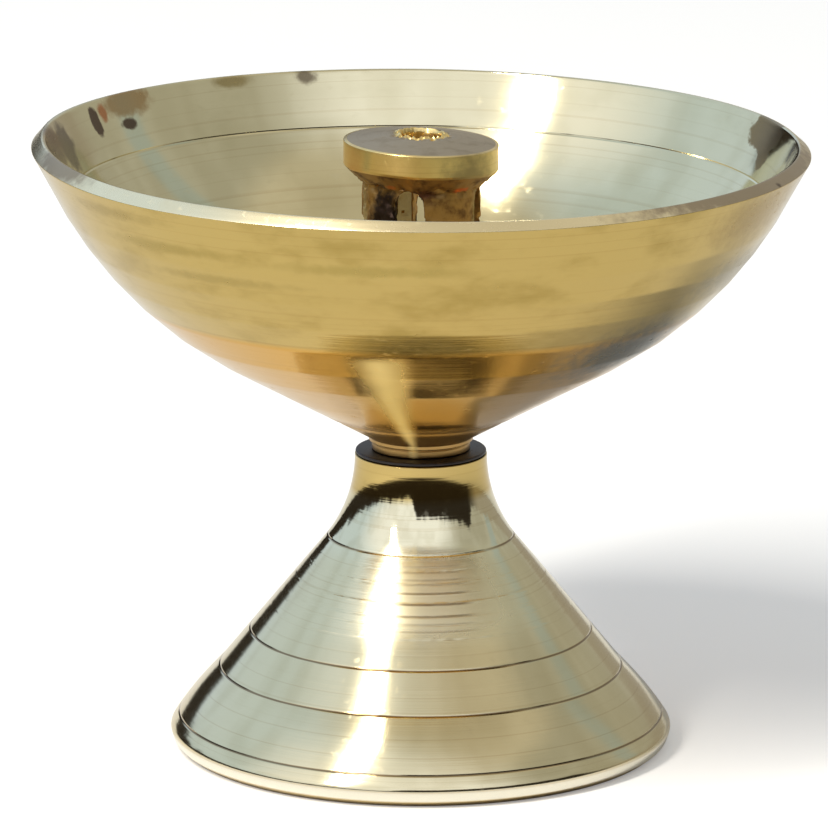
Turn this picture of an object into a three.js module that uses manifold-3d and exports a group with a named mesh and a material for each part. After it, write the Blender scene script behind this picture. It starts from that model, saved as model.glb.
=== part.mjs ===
// A small brass table diya: an open oil bowl with a wick holder standing in it, screwed to a
// hollow turned pedestal. Millimetres, +Z up, origin at the centre of the pedestal's foot.
import * as THREE from "three";
import * as BufferGeometryUtils from "three/addons/utils/BufferGeometryUtils.js";
import Module from "manifold-3d";

const wasm = await Module();
wasm.setup();

// Clearances
const seatGap = 0.05;             // between two flat faces that rest on each other
const threadClearance = 0.15;     // radial, between a thread's outer cylinder and its hole
const endClearance = 0.2;         // between the stud's top and the holder's spigot in the bowl
const cutterOverrun = 1.0;        // how far a cutting shape runs past the metal that it cuts

// Screw threads, drawn as plain cylinders
const threadRadius = 2.4;
const threadPitch = 0.8;
const threadChamfer = 0.35;
const bowlThreadTurns = 3;
const holderThreadTurns = 3;

// Pedestal
const pedestalHeight = 30.75;
const footRadius = 26.2;          // widest, at the rolled foot edge
const footEdgeHeight = 1.75;      // height of the widest point
const footOverhang = 1.2;         // of the rolled edge, past the flat ring that it rests on
const footFaceWidth = 1.6;        // of that ring
const coneAngle = 39.1;           // of the cone's side, from the axis, in degrees
const footSwell = 0.3;            // how far the skirt bulges over the straight cone
const skirtHeight = 8.2;          // the swell ends here, at a scribed line
const neckRadius = 6.85;
const neckFlareRadius = 14.6;
const neckChamfer = 0.15;
const pedestalWall = 1.9;
const webHeight = 21.5;           // underside of the solid neck, where the nut bears
const innerFilletRadius = 2.0;

// Scribed lines on the cone: heights, and the size of the little vee that each one is
const scribeHeights = [3.2, skirtHeight, 12.1, 22.1];
const scribeHalfWidth = 0.2;
const scribeDepth = 0.15;

// Rubber washer on the neck
const neckWasherInset = 0.07;     // of its edge, inside the neck's
const neckWasherThickness = 0.4;
const neckWasherEdge = 0.12;

// Bowl
const bowlRimRadius = 40.0;       // outside, just under the bevelled lip
const bowlLipInset = 1.1;         // the lip's bevel: how far in and how far up
const bowlLipRise = 1.25;
const bowlLipEdgeDrop = 0.1;      // from the lip's top to its inner edge
const bowlHeight = 32.5;          // from the boss's underside to the lip's top
const bowlWallAngle = 27.9;       // of the upper wall, from the axis, in degrees
const bowlConeAngle = 61.1;       // of the lower cone, from the axis, in degrees
const bowlCurveRadius = 42.6;     // the curve between them
const bowlBandPitch = 3.0;        // the curve is turned as flat bands of this height
const bowlWall = 1.8;
const bowlLipFillet = 0.15;
const bowlBossRadius = 5.4;
const bowlBossHeight = 1.4;       // of the short neck under the cone
const bossGrooveHeight = 0.85;    // of the groove round the boss, from its underside
const bossGrooveDepth = 0.4;
const bossFootInset = 0.3;        // of the boss's foot, under that groove
const bowlFloorHeight = 5.0;      // inside floor, above the boss's underside
const floorFilletRadius = 3.0;
const bowlRingHeight = 3.6;       // turned groove in the cone, from the boss's underside
const bowlRingHalfWidth = 0.3;
const bowlRingDepth = 0.25;
const oilLineDrop = 5.7;          // scribed line inside, below the lip's top

// Sealing ring under the wick holder
const sealInset = 0.3;            // of its edge, inside the holder's foot
const sealThickness = 0.6;

// Wick holder
const holderFootRadius = 6.9;
const holderFootHeight = 1.8;
const holderFootChamfer = 0.4;
const cageRadius = 6.1;
const cageWall = 1.9;
const cageHeight = 20.8;          // from the foot's top to the cap's underside
const capRadius = 8.0;
const capBandHeight = 2.5;
const capChamferInset = 1.5;
const capChamferDrop = 1.6;
const capRise = 1.1;              // how far the cap's top rises to the wick hole
const wickHoleRadius = 2.55;
const wickHoleLip = 0.2;          // small raised lip round the wick hole
const wickHoleDepth = 2.6;
const windowCount = 4;
const windowTurn = -12;           // of the first window, in degrees from the front
const windowTopHalfWidth = 1.7;
const windowFootHalfWidth = 2.25;
const windowTopClearance = 0.1;   // of solid left between the arch and the cap

// Nut and washer inside the pedestal
const nutAcrossFlats = 8.0;
const nutHeight = 4.0;
const nutFaceRadius = 3.8;        // of the round face left by the chamfer
const nutChamferAngle = 30;       // of the chamfer, from the face, in degrees
const nutTurns = 5;               // that it is screwed up the stud, above the stud's end
const washerRadius = 5.0;
const washerThickness = 1.0;
const washerEdge = 0.15;

// Facets round one turn
const largeSegments = 64;
const mediumSegments = 40;
const smallSegments = 24;

// Heights that follow from the sizes above
const neckWasherBottom = pedestalHeight + seatGap;
const bowlBottom = neckWasherBottom + neckWasherThickness + seatGap;
const bowlFloor = bowlBottom + bowlFloorHeight;
const sealBottom = bowlFloor + seatGap;
const holderBottom = sealBottom + sealThickness + seatGap;
const studTop = bowlBottom + bowlThreadTurns * threadPitch;
const spigotBottom = Math.max(bowlFloor - holderThreadTurns * threadPitch, studTop + endClearance);
const washerTop = webHeight - seatGap;
const nutTop = washerTop - washerThickness - seatGap;
const studBottom = nutTop - nutHeight - nutTurns * threadPitch;
const threadHoleRadius = threadRadius + threadClearance;

const tangent = (degrees) => Math.tan(THREE.MathUtils.degToRad(degrees));
const point = (radius, height) => new THREE.Vector2(radius, height);

// Materials
const finish = (color, roughness, metalness) =>
  new THREE.MeshStandardMaterial({ color, roughness, metalness });
const paleBrass = finish(0xc9bd8a, 0.24, 1.0);
const goldenBrass = finish(0xc6a04e, 0.32, 1.0);
const castBrass = finish(0x9a7a3e, 0.5, 1.0);
const blackRubber = finish(0x1c1a1a, 0.7, 0.0);
const redFibre = finish(0x6e3427, 0.8, 0.0);
const steel = finish(0xb2b4b6, 0.35, 1.0);

// The two tangent points and the arc between two straight runs that meet at a corner.
// The corner is rounded with the given radius, and the arc is returned as points.
function roundedCorner(before, corner, after, radius, steps) {
  const incoming = before.clone().sub(corner).normalize();
  const outgoing = after.clone().sub(corner).normalize();
  const halfAngle = Math.acos(THREE.MathUtils.clamp(incoming.dot(outgoing), -1, 1)) / 2;
  const reach = radius / Math.tan(halfAngle);
  const start = corner.clone().addScaledVector(incoming, reach);
  const end = corner.clone().addScaledVector(outgoing, reach);
  const bisector = incoming.clone().add(outgoing).normalize();
  const centre = corner.clone().addScaledVector(bisector, radius / Math.sin(halfAngle));
  const startAngle = Math.atan2(start.y - centre.y, start.x - centre.x);
  let sweep = Math.atan2(end.y - centre.y, end.x - centre.x) - startAngle;
  if (sweep > Math.PI) sweep -= 2 * Math.PI;
  if (sweep < -Math.PI) sweep += 2 * Math.PI;
  const points = [];
  for (let step = 0; step <= steps; step += 1) {
    const angle = startAngle + (sweep * step) / steps;
    points.push(point(centre.x + radius * Math.cos(angle), centre.y + radius * Math.sin(angle)));
  }
  return points;
}

// Where a straight run at an angle from the axis reaches a given height
const radiusOnRun = (run, height) => run.radius + (height - run.height) * run.slope;

// A run moved inwards by a wall's thickness, square to itself
const insetRun = (run, wall) => ({
  radius: run.radius - wall * Math.hypot(1, run.slope), height: run.height, slope: run.slope,
});

// The height at which two runs meet
const meetingHeight = (one, two) =>
  (two.radius - one.radius + one.height * one.slope - two.height * two.slope)
    / (one.slope - two.slope);

const pointOnRun = (run, height) => point(radiusOnRun(run, height), height);

// The radius at a height on a side given by points that climb
function radiusAlong(side, height) {
  const next = Math.max(1, side.findIndex((place) => place.y >= height));
  const low = side[next - 1];
  const high = side[next];
  return THREE.MathUtils.mapLinear(height, low.y, high.y, low.x, high.x);
}

// A vee groove cut into an outside surface, as points that climb past it. A depth below zero
// cuts the other way, into the wall from inside.
function veeGroove(surface, height, halfWidth, depth) {
  return [
    point(surface(height - halfWidth), height - halfWidth),
    point(surface(height) - depth, height),
    point(surface(height + halfWidth), height + halfWidth),
  ];
}

// Turns a profile that runs anticlockwise, radius to the right and height up
function turned(profile, segments) {
  const geometry = new THREE.LatheGeometry(profile, segments);
  geometry.rotateX(Math.PI / 2);
  return geometry;
}

function toSolid(geometry) {
  const bare = new THREE.BufferGeometry();
  bare.setAttribute("position", geometry.getAttribute("position").clone());
  if (geometry.index) bare.setIndex(geometry.index.clone());
  const merged = BufferGeometryUtils.mergeVertices(bare, 1e-4);
  return new wasm.Manifold(new wasm.Mesh({
    numProp: 3,
    vertProperties: new Float32Array(merged.getAttribute("position").array),
    triVerts: new Uint32Array(merged.index.array),
  }));
}

function toGeometry(solid) {
  const mesh = solid.getMesh();
  const geometry = new THREE.BufferGeometry();
  geometry.setAttribute(
    "position", new THREE.BufferAttribute(new Float32Array(mesh.vertProperties), 3));
  geometry.setIndex(new THREE.BufferAttribute(new Uint32Array(mesh.triVerts), 1));
  geometry.computeVertexNormals();
  return geometry;
}

// The cone's side and the neck, outside
const coneRun = {
  radius: footRadius, height: footEdgeHeight, slope: -tangent(coneAngle),
};
const neckRun = { radius: neckRadius, height: pedestalHeight, slope: 0 };

// The skirt under the second scribed line swells a little over the straight cone
function skirtRadius(height) {
  const share = (height - footEdgeHeight) / (skirtHeight - footEdgeHeight);
  const swell = share > 0 && share < 1 ? footSwell * Math.sin(Math.PI * share) : 0;
  return radiusOnRun(coneRun, height) + swell;
}

// The rolled foot edge: the arc that leaves the flat ring and stands upright at the widest point
function footRoll(steps) {
  const radius = (footOverhang ** 2 + footEdgeHeight ** 2) / (2 * footOverhang);
  const start = Math.atan2(footEdgeHeight, radius - footOverhang);
  const points = [];
  for (let step = 0; step <= steps; step += 1) {
    const angle = start * (step / steps - 1);
    points.push(point(
      footRadius - radius + radius * Math.cos(angle), footEdgeHeight + radius * Math.sin(angle)));
  }
  return points;
}

function pedestalOutside() {
  const corner = meetingHeight(coneRun, neckRun);
  const flare = roundedCorner(
    pointOnRun(coneRun, footEdgeHeight), pointOnRun(coneRun, corner),
    point(neckRadius, pedestalHeight), neckFlareRadius, 9);
  const flareRadiusAt = (height) => {
    for (let index = 1; index < flare.length; index += 1) {
      const low = flare[index - 1];
      const high = flare[index];
      if (height >= low.y && height <= high.y) {
        return THREE.MathUtils.mapLinear(height, low.y, high.y, low.x, high.x);
      }
    }
    return height < flare[0].y ? skirtRadius(height) : neckRadius;
  };
  const skirt = [1 / 4, 1 / 2, 3 / 4].map((share) => {
    const height = THREE.MathUtils.lerp(footEdgeHeight, skirtHeight, share);
    return point(skirtRadius(height), height);
  });
  const lines = scribeHeights.flatMap((height) =>
    veeGroove(flareRadiusAt, height, scribeHalfWidth, scribeDepth));
  const clearOfLines = (place) =>
    scribeHeights.every((height) => Math.abs(place.y - height) > 2 * scribeHalfWidth);
  const side = [...skirt, ...flare].filter(clearOfLines).concat(lines)
    .filter((place) => place.y < pedestalHeight - neckChamfer)
    .sort((one, two) => one.y - two.y);
  return [
    ...footRoll(4),
    ...side,
    point(neckRadius, pedestalHeight - neckChamfer),
    point(neckRadius - neckChamfer, pedestalHeight),
  ];
}

function pedestal() {
  const inner = insetRun(coneRun, pedestalWall);
  const roof = roundedCorner(
    point(threadHoleRadius, webHeight), pointOnRun(inner, webHeight), pointOnRun(inner, 0),
    innerFilletRadius, 4);
  const footInside = footRadius - footOverhang - footFaceWidth;
  const footInsideTop = inner.height + (footInside - inner.radius) / inner.slope;
  const profile = [
    ...pedestalOutside(),
    point(threadHoleRadius, pedestalHeight),
    point(threadHoleRadius, webHeight),
    ...roof,
    point(footInside, footInsideTop),
    point(footInside, 0),
  ];
  profile.push(profile[0].clone());
  return turned(profile, largeSegments);
}

// A flat ring with small bevels on its outer edge
function flatRing(inner, outer, bottom, thickness, edge, segments) {
  return turned([
    point(inner, bottom),
    point(outer - edge, bottom),
    point(outer, bottom + edge),
    point(outer, bottom + thickness - edge),
    point(outer - edge, bottom + thickness),
    point(inner, bottom + thickness),
    point(inner, bottom),
  ], segments);
}

// The bowl's wall and lower cone, outside
const rimHeight = bowlBottom + bowlHeight - bowlLipRise;
const bossTop = bowlBottom + bowlBossHeight;
const bowlWallRun = { radius: bowlRimRadius, height: rimHeight, slope: tangent(bowlWallAngle) };
const bowlConeRun = { radius: bowlBossRadius, height: bossTop, slope: tangent(bowlConeAngle) };

// The outside radius at a height: lower cone, curve, upper wall
function bowlOutsideRadius(height) {
  const corner = pointOnRun(bowlWallRun, meetingHeight(bowlWallRun, bowlConeRun));
  const curve = roundedCorner(
    point(bowlBossRadius, bossTop), corner, point(bowlRimRadius, rimHeight), bowlCurveRadius, 24);
  if (height <= curve[0].y) return radiusOnRun(bowlConeRun, height);
  if (height >= curve[curve.length - 1].y) return radiusOnRun(bowlWallRun, height);
  return radiusAlong(curve, height);
}

// The curve is turned as flat bands of one height, counted down from the rim
function bowlBands() {
  const bands = [];
  const lowest = bossTop + bowlRingHeight + bowlBandPitch / 2;
  for (let height = rimHeight - bowlBandPitch; height > lowest; height -= bowlBandPitch) {
    bands.unshift(point(bowlOutsideRadius(height), height));
  }
  return bands;
}

function bowl() {
  const innerWall = insetRun(bowlWallRun, bowlWall);
  const innerCone = insetRun(bowlConeRun, bowlWall);
  const lipTop = rimHeight + bowlLipRise;
  const innerCorner = pointOnRun(innerWall, meetingHeight(innerWall, innerCone));
  const innerCurve = roundedCorner(
    pointOnRun(innerWall, lipTop), innerCorner, pointOnRun(innerCone, bossTop),
    bowlCurveRadius - bowlWall, 12);
  const floorCorner = pointOnRun(
    innerCone, innerCone.height + (threadHoleRadius - innerCone.radius) / innerCone.slope);
  const floorEdge = point(radiusOnRun(innerCone, bowlFloor), bowlFloor);
  const floorCurve = roundedCorner(
    innerCurve[innerCurve.length - 1], floorEdge, point(floorCorner.x, bowlFloor),
    floorFilletRadius, 4);
  const lipInnerEdge = pointOnRun(innerWall, lipTop - bowlLipEdgeDrop);
  const lip = roundedCorner(
    point(bowlRimRadius, rimHeight), point(bowlRimRadius - bowlLipInset, lipTop),
    lipInnerEdge, bowlLipFillet, 3);
  const ring = veeGroove((height) => radiusOnRun(bowlConeRun, height),
    bowlBottom + bowlRingHeight, bowlRingHalfWidth, bowlRingDepth);
  const oilLineHeight = lipTop - oilLineDrop;
  const innerSide = [lipInnerEdge, ...innerCurve].reverse();
  const oilLine = veeGroove((height) => radiusAlong(innerSide, height),
    oilLineHeight, scribeHalfWidth, -scribeDepth);
  const linedSide = innerSide
    .filter((place) => Math.abs(place.y - oilLineHeight) > 2 * scribeHalfWidth)
    .concat(oilLine)
    .sort((one, two) => two.y - one.y);
  const grooveHeight = bowlBottom + bossGrooveHeight;
  const bossFootRadius = bowlBossRadius - bossFootInset;
  const profile = [
    point(threadHoleRadius, bowlBottom),
    point(bossFootRadius, bowlBottom),
    point(bossFootRadius, grooveHeight - scribeHalfWidth),
    point(bowlBossRadius - bossGrooveDepth, grooveHeight),
    point(bowlBossRadius, grooveHeight + scribeHalfWidth),
    point(bowlBossRadius, bossTop),
    ...ring,
    ...bowlBands(),
    point(bowlRimRadius, rimHeight),
    ...lip,
    ...linedSide,
    ...floorCurve,
    point(threadHoleRadius, bowlFloor),
    point(threadHoleRadius, bowlBottom),
  ];
  return turned(profile, largeSegments);
}

// One arched window, as a cutter that reaches from inside the cage to outside it
function windowCutter(bottom, top) {
  const outline = new THREE.Shape();
  const spring = top - windowTopHalfWidth;
  outline.moveTo(-windowFootHalfWidth, bottom);
  outline.lineTo(windowFootHalfWidth, bottom);
  outline.lineTo(windowTopHalfWidth, spring);
  outline.absarc(0, spring, windowTopHalfWidth, 0, Math.PI, false);
  outline.closePath();
  const inside = (cageRadius - cageWall) / 2;
  const cutter = new THREE.ExtrudeGeometry(outline, {
    depth: holderFootRadius + cutterOverrun - inside, bevelEnabled: false, curveSegments: 10,
  });
  cutter.translate(0, 0, inside);
  cutter.rotateX(Math.PI / 2);
  return cutter;
}

// The wick holder is one casting: threaded spigot, foot, four-legged cage and turned cap
function wickHolder() {
  const footTop = holderBottom + holderFootHeight;
  const capBottom = footTop + cageHeight;
  const bandBottom = capBottom + capChamferDrop;
  const bandTop = bandBottom + capBandHeight;
  const holeTop = bandTop + capRise;
  const chamberRadius = cageRadius - cageWall;
  const profile = [
    point(0, spigotBottom),
    point(threadRadius - threadChamfer, spigotBottom),
    point(threadRadius, spigotBottom + threadChamfer),
    point(threadRadius, holderBottom),
    point(holderFootRadius, holderBottom),
    point(holderFootRadius, footTop - holderFootChamfer),
    point(holderFootRadius - holderFootChamfer, footTop),
    point(cageRadius, footTop),
    point(cageRadius, capBottom),
    point(capRadius - capChamferInset, capBottom),
    point(capRadius, bandBottom),
    point(capRadius, bandTop),
    point(wickHoleRadius + 2 * wickHoleLip, holeTop - wickHoleLip),
    point(wickHoleRadius + wickHoleLip, holeTop),
    point(wickHoleRadius, holeTop),
    point(wickHoleRadius, holeTop - wickHoleDepth),
    point(chamberRadius, capBottom + wickHoleLip),
    point(chamberRadius, footTop),
    point(0, footTop),
  ];
  let casting = toSolid(turned(profile, mediumSegments));
  const windowTop = capBottom - windowTopClearance;
  for (let index = 0; index < windowCount; index += 1) {
    const cutter = windowCutter(footTop + seatGap, windowTop);
    cutter.rotateZ(THREE.MathUtils.degToRad(windowTurn + (360 * index) / windowCount));
    casting = casting.subtract(toSolid(cutter));
  }
  return toGeometry(casting);
}

function stud() {
  return turned([
    point(0, studBottom),
    point(threadRadius - threadChamfer, studBottom),
    point(threadRadius, studBottom + threadChamfer),
    point(threadRadius, studTop - threadChamfer),
    point(threadRadius - threadChamfer, studTop),
    point(0, studTop),
  ], smallSegments);
}

// A hexagon cut by a double cone, with a threaded hole
function lockNut() {
  const acrossCorners = nutAcrossFlats / Math.cos(Math.PI / 6) / 2;
  const bottom = nutTop - nutHeight;
  const hexagon = new THREE.CylinderGeometry(acrossCorners, acrossCorners, nutHeight, 6);
  hexagon.rotateX(Math.PI / 2);
  hexagon.translate(0, 0, nutTop - nutHeight / 2);
  const coneReach = acrossCorners + cutterOverrun;
  const coneDrop = (coneReach - nutFaceRadius) * tangent(nutChamferAngle);
  const rounded = turned([
    point(0, bottom),
    point(nutFaceRadius, bottom),
    point(coneReach, bottom + coneDrop),
    point(coneReach, nutTop - coneDrop),
    point(nutFaceRadius, nutTop),
    point(0, nutTop),
  ], smallSegments);
  const hole = turned([
    point(0, bottom - cutterOverrun),
    point(threadHoleRadius, bottom - cutterOverrun),
    point(threadHoleRadius, nutTop + cutterOverrun),
    point(0, nutTop + cutterOverrun),
  ], smallSegments);
  return toGeometry(toSolid(hexagon).intersect(toSolid(rounded)).subtract(toSolid(hole)));
}

function addPiece(group, name, geometry, material) {
  const mesh = new THREE.Mesh(geometry, material);
  mesh.name = name;
  group.add(mesh);
}

const diya = new THREE.Group();
addPiece(diya, "pedestal", pedestal(), paleBrass);
addPiece(diya, "threaded_stud", stud(), steel);
addPiece(diya, "plain_washer", flatRing(
  threadHoleRadius, washerRadius, washerTop - washerThickness, washerThickness,
  washerEdge, smallSegments), steel);
addPiece(diya, "lock_nut", lockNut(), steel);
addPiece(diya, "neck_washer", flatRing(
  threadHoleRadius, neckRadius - neckWasherInset, neckWasherBottom, neckWasherThickness,
  neckWasherEdge, mediumSegments), blackRubber);
addPiece(diya, "bowl", bowl(), goldenBrass);
addPiece(diya, "holder_seal", flatRing(
  threadHoleRadius, holderFootRadius - sealInset, sealBottom, sealThickness,
  seatGap, mediumSegments), redFibre);
addPiece(diya, "wick_holder", wickHolder(), castBrass);

export default diya;
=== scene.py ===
# %% [markdown]
# # A small turned brass lamp
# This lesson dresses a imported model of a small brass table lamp. The lamp is a wide oil bowl
# screwed onto a hollow cone, with a wick holder standing in the bowl. Almost every piece is
# turned on a lathe, so nearly all of its shapes are one outline spun round the upright axis.
# The frame holds the real sizes, and each visible piece rides on the body that it moves with.

# %% Load the frame
import math

import bmesh
import bpy
import numpy as np
from mathutils import Matrix, Vector, noise


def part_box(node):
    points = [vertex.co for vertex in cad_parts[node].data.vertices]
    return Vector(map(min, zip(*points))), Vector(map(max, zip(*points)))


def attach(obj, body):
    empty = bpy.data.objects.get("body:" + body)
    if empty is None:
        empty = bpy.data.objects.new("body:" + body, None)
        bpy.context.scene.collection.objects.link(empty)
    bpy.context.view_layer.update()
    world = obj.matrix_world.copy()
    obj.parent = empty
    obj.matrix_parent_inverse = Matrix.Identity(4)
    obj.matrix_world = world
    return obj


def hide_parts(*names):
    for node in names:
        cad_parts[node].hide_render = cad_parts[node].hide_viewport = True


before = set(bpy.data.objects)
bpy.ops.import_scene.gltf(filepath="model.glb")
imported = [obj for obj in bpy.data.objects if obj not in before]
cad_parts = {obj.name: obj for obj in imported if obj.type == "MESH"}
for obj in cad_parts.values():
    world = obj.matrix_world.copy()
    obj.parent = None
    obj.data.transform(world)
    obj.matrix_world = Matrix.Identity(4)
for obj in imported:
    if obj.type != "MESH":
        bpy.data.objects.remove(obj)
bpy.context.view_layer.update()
print("pieces in the frame:", sorted(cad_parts))

# %% [markdown]
# Sizes are written in millimetres, as on a workshop drawing, and turned into metres when a mesh
# is made. What the frame already knows is read from it, so the dressed pieces sit where the
# solid ones do.

# %% Sizes read from the frame
MM = 0.001


def span(node):
    """Lowest height, highest height and greatest radius of a node, in millimetres."""
    low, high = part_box(node)
    return low.z / MM, high.z / MM, high.x / MM


_, pedestal_top, foot_radius = span("pedestal")
washer_low, washer_top, washer_radius = span("neck_washer")
bowl_low, bowl_top, rim_radius = span("bowl")
seal_low, seal_top, seal_radius = span("holder_seal")
holder_low, _, cap_radius = span("wick_holder")
stud_low, stud_top, thread_radius = span("threaded_stud")
plate_low, plate_top, plate_radius = span("plain_washer")
nut_low, nut_top, nut_half_flats = span("lock_nut")
print("bowl from", round(bowl_low, 2), "to", round(bowl_top, 2), "radius", round(rim_radius, 2))

# %% [markdown]
# ## Turning a piece
# A lathe cuts an outline while the metal spins. The helper below does the same: it takes a list
# of corners, each with a radius, a height and the size of the round on that corner, and spins
# the outline. Real turned edges are never knife sharp, and a small round on each one is what
# catches a thin line of light.

# %% Outline helpers
ARC_STEP = math.radians(15)
ARC_LENGTH = 0.6
EDGE_SHARE = 0.49
LARGE_ROUND = 10.0


def rounded_outline(corners, closed):
    """Turns (radius, height, round) corners into a fine outline, with an arc at each round. A small
    round gives way where an edge is short, and a large one keeps its size."""
    count = len(corners)
    outline = []
    for index, (r, z, size) in enumerate(corners):
        here = Vector((r, z))
        inner = closed or 0 < index < count - 1
        if size <= 0 or not inner:
            outline.append(here)
            continue
        to_before = Vector(corners[index - 1][:2]) - here
        to_after = Vector(corners[(index + 1) % count][:2]) - here
        way_in, way_out = to_before.normalized(), to_after.normalized()
        half = math.acos(max(-1.0, min(1.0, way_in.dot(way_out)))) / 2
        reach = size / math.tan(half)
        if size <= LARGE_ROUND:
            reach = min(reach, EDGE_SHARE * to_before.length, EDGE_SHARE * to_after.length)
        size = reach * math.tan(half)
        middle = here + (way_in + way_out).normalized() * (size / math.sin(half))
        start = math.atan2(*(here + way_in * reach - middle).yx)
        sweep = math.atan2(*(here + way_out * reach - middle).yx) - start
        sweep = (sweep + math.pi) % (2 * math.pi) - math.pi
        steps = max(3, round(abs(sweep) / ARC_STEP), round(size * abs(sweep) / ARC_LENGTH))
        for step in range(steps + 1):
            angle = start + sweep * step / steps
            outline.append(middle + size * Vector((math.cos(angle), math.sin(angle))))
    return outline


def subdivided(outline, longest, closed):
    """Splits long straight runs, so that no face of the turned mesh is a long strip."""
    finer = []
    pairs = len(outline) if closed else len(outline) - 1
    for index in range(pairs):
        start, end = outline[index], outline[(index + 1) % len(outline)]
        pieces = max(1, math.ceil((end - start).length / longest))
        finer += [start.lerp(end, step / pieces) for step in range(pieces)]
    if not closed:
        finer.append(outline[-1])
    return finer


def tooled(outline, waves):
    """Sinks outline points by (wavelength, depth) waves, as an uneven tool feed does."""
    sunk = []
    travelled = 0.0
    for index, here in enumerate(outline):
        before = outline[max(0, index - 1)]
        after = outline[min(len(outline) - 1, index + 1)]
        travelled += (here - before).length
        along = (after - before).normalized()
        depth = sum(height * (0.5 + 0.5 * noise.noise(Vector((travelled / length, length, 0.5))))
                    for length, height in waves)
        sunk.append(here - Vector((along.y, -along.x)) * depth)
    return sunk


def on_run(radius, height, degrees, at):
    """The radius that a straight run, leaning so many degrees from the axis, has at a height."""
    return radius + (at - height) * math.tan(math.radians(degrees))


def meeting(radius_a, height_a, degrees_a, radius_b, height_b, degrees_b):
    """Radius and height at which two straight runs meet."""
    lean_a = math.tan(math.radians(degrees_a))
    lean_b = math.tan(math.radians(degrees_b))
    height = (radius_b - radius_a + height_a * lean_a - height_b * lean_b) / (lean_a - lean_b)
    return on_run(radius_a, height_a, degrees_a, height), height


def soft_step(value, start, end):
    """Rises softly from 0 at start to 1 at end, and falls where end is the lower one."""
    share = max(0.0, min(1.0, (value - start) / (end - start)))
    return share * share * (3 - 2 * share)


sample = rounded_outline([(0, 0, 0), (5, 0, 1), (5, 5, 0)], False)
print("a square corner rounded by 1 mm becomes an arc of", len(sample) - 2, "points")

# %% [markdown]
# A turned mesh is rings of points with faces between them. The threads and the nut further down
# are made of such rings too, so the ring and the faces have helpers of their own.

# %% Mesh helpers
TURN_STEPS = 224
SHARP_DEGREES = 40
ON_AXIS = 1e-6


def ring_points(build, radii, height):
    """Mesh points round the axis at one height, one for each radius given."""
    count = len(radii)
    return [build.verts.new((radius * MM * math.cos(2 * math.pi * step / count),
                             radius * MM * math.sin(2 * math.pi * step / count), height * MM))
            for step, radius in enumerate(radii)]


def skin(build, low, high):
    """Faces between two rings. A ring may be a single point on the axis."""
    for step in range(max(len(low), len(high))):
        following = step + 1
        around = [low[step % len(low)], low[following % len(low)],
                  high[following % len(high)], high[step % len(high)]]
        corners = list(dict.fromkeys(around))
        if len(corners) > 2:
            build.faces.new(corners)


def linked(name, data):
    """A new object in the scene that shows the given data."""
    made = bpy.data.objects.new(name, data)
    bpy.context.scene.collection.objects.link(made)
    return made


def built(build, name, sharp=SHARP_DEGREES):
    """Ends a mesh: smooth faces, with edges sharp where they bend by more than some degrees."""
    mesh = bpy.data.meshes.new(name)
    build.to_mesh(mesh)
    build.free()
    mesh.shade_smooth()
    mesh.set_sharp_from_angle(angle=math.radians(sharp))
    print(name, "has", len(mesh.polygons), "faces")
    return linked(name, mesh)


def turned(name, corners, closed=True, steps=TURN_STEPS, longest=1.2):
    """Spins an outline into a mesh object with smooth shading."""
    build = bmesh.new()
    rings = [ring_points(build, [place.x] * (1 if place.x < ON_AXIS else steps), place.y)
             for place in subdivided(rounded_outline(corners, closed), longest, closed)]
    for low, high in zip(rings, rings[1:] + rings[:1] if closed else rings[1:]):
        skin(build, low, high)
    bmesh.ops.recalc_face_normals(build, faces=build.faces)
    return built(build, name)


def finish_piece(piece, body, node, material):
    """Gives a piece its material and its body, and hides the solid that it stands for."""
    piece.data.materials.append(material)
    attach(piece, body)
    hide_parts(node)
    return piece


print("round pieces are turned in", TURN_STEPS, "steps")

# %% [markdown]
# ## Brass
# Polished brass takes its colour from what it mirrors, so a single yellow looks like paint. What
# makes it read as turned metal is its surface: rings left by the tool, which spread a highlight
# up and down the side, broad stains where hands and weather have dulled it, and torn spots,
# which are stains in some places and painted shade, painted light and painted reflections in others.
# Each of these is a node group with named inputs, because the bowl, the pedestal and the wick
# holder all use them with values of their own.

# %% Node group helpers
def new_group(name, inputs, outputs):
    """An empty shader node group with named inputs (name, kind, default) and outputs."""
    group = bpy.data.node_groups.new(name, "ShaderNodeTree")
    for label, kind, default in inputs:
        socket = group.interface.new_socket(label, in_out="INPUT", socket_type=kind)
        socket.default_value = default
    for label, kind in outputs:
        group.interface.new_socket(label, in_out="OUTPUT", socket_type=kind)
    return group, group.nodes.new("NodeGroupInput"), group.nodes.new("NodeGroupOutput")


def node(tree, kind, **settings):
    """A new node with attributes set, and inputs set by a dict called sockets."""
    sockets = settings.pop("sockets", {})
    made = tree.nodes.new(kind)
    for key, value in settings.items():
        setattr(made, key, value)
    for key, value in sockets.items():
        made.inputs[key].default_value = value
    return made


def maths(tree, operation, first, second=0.0):
    """A Math node fed by numbers or sockets, and its output."""
    made = tree.nodes.new("ShaderNodeMath")
    made.operation = operation
    for slot_index, value in enumerate((first, second)):
        if isinstance(value, bpy.types.NodeSocket):
            tree.links.new(value, made.inputs[slot_index])
        else:
            made.inputs[slot_index].default_value = value
    return made.outputs[0]


def times(tree, first, second):
    """The product of two numbers or sockets."""
    return maths(tree, "MULTIPLY", first, second)


def plus(tree, first, second):
    """The sum of two numbers or sockets."""
    return maths(tree, "ADD", first, second)


def apart(tree, first, second):
    """How far apart two numbers or sockets are."""
    return maths(tree, "ABSOLUTE", maths(tree, "SUBTRACT", first, second))


def object_place(tree):
    """X, Y and Z of each point in the piece's own space, in metres."""
    parts = node(tree, "ShaderNodeSeparateXYZ")
    tree.links.new(node(tree, "ShaderNodeTexCoord").outputs["Object"], parts.inputs[0])
    return parts.outputs["X"], parts.outputs["Y"], parts.outputs["Z"]


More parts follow.
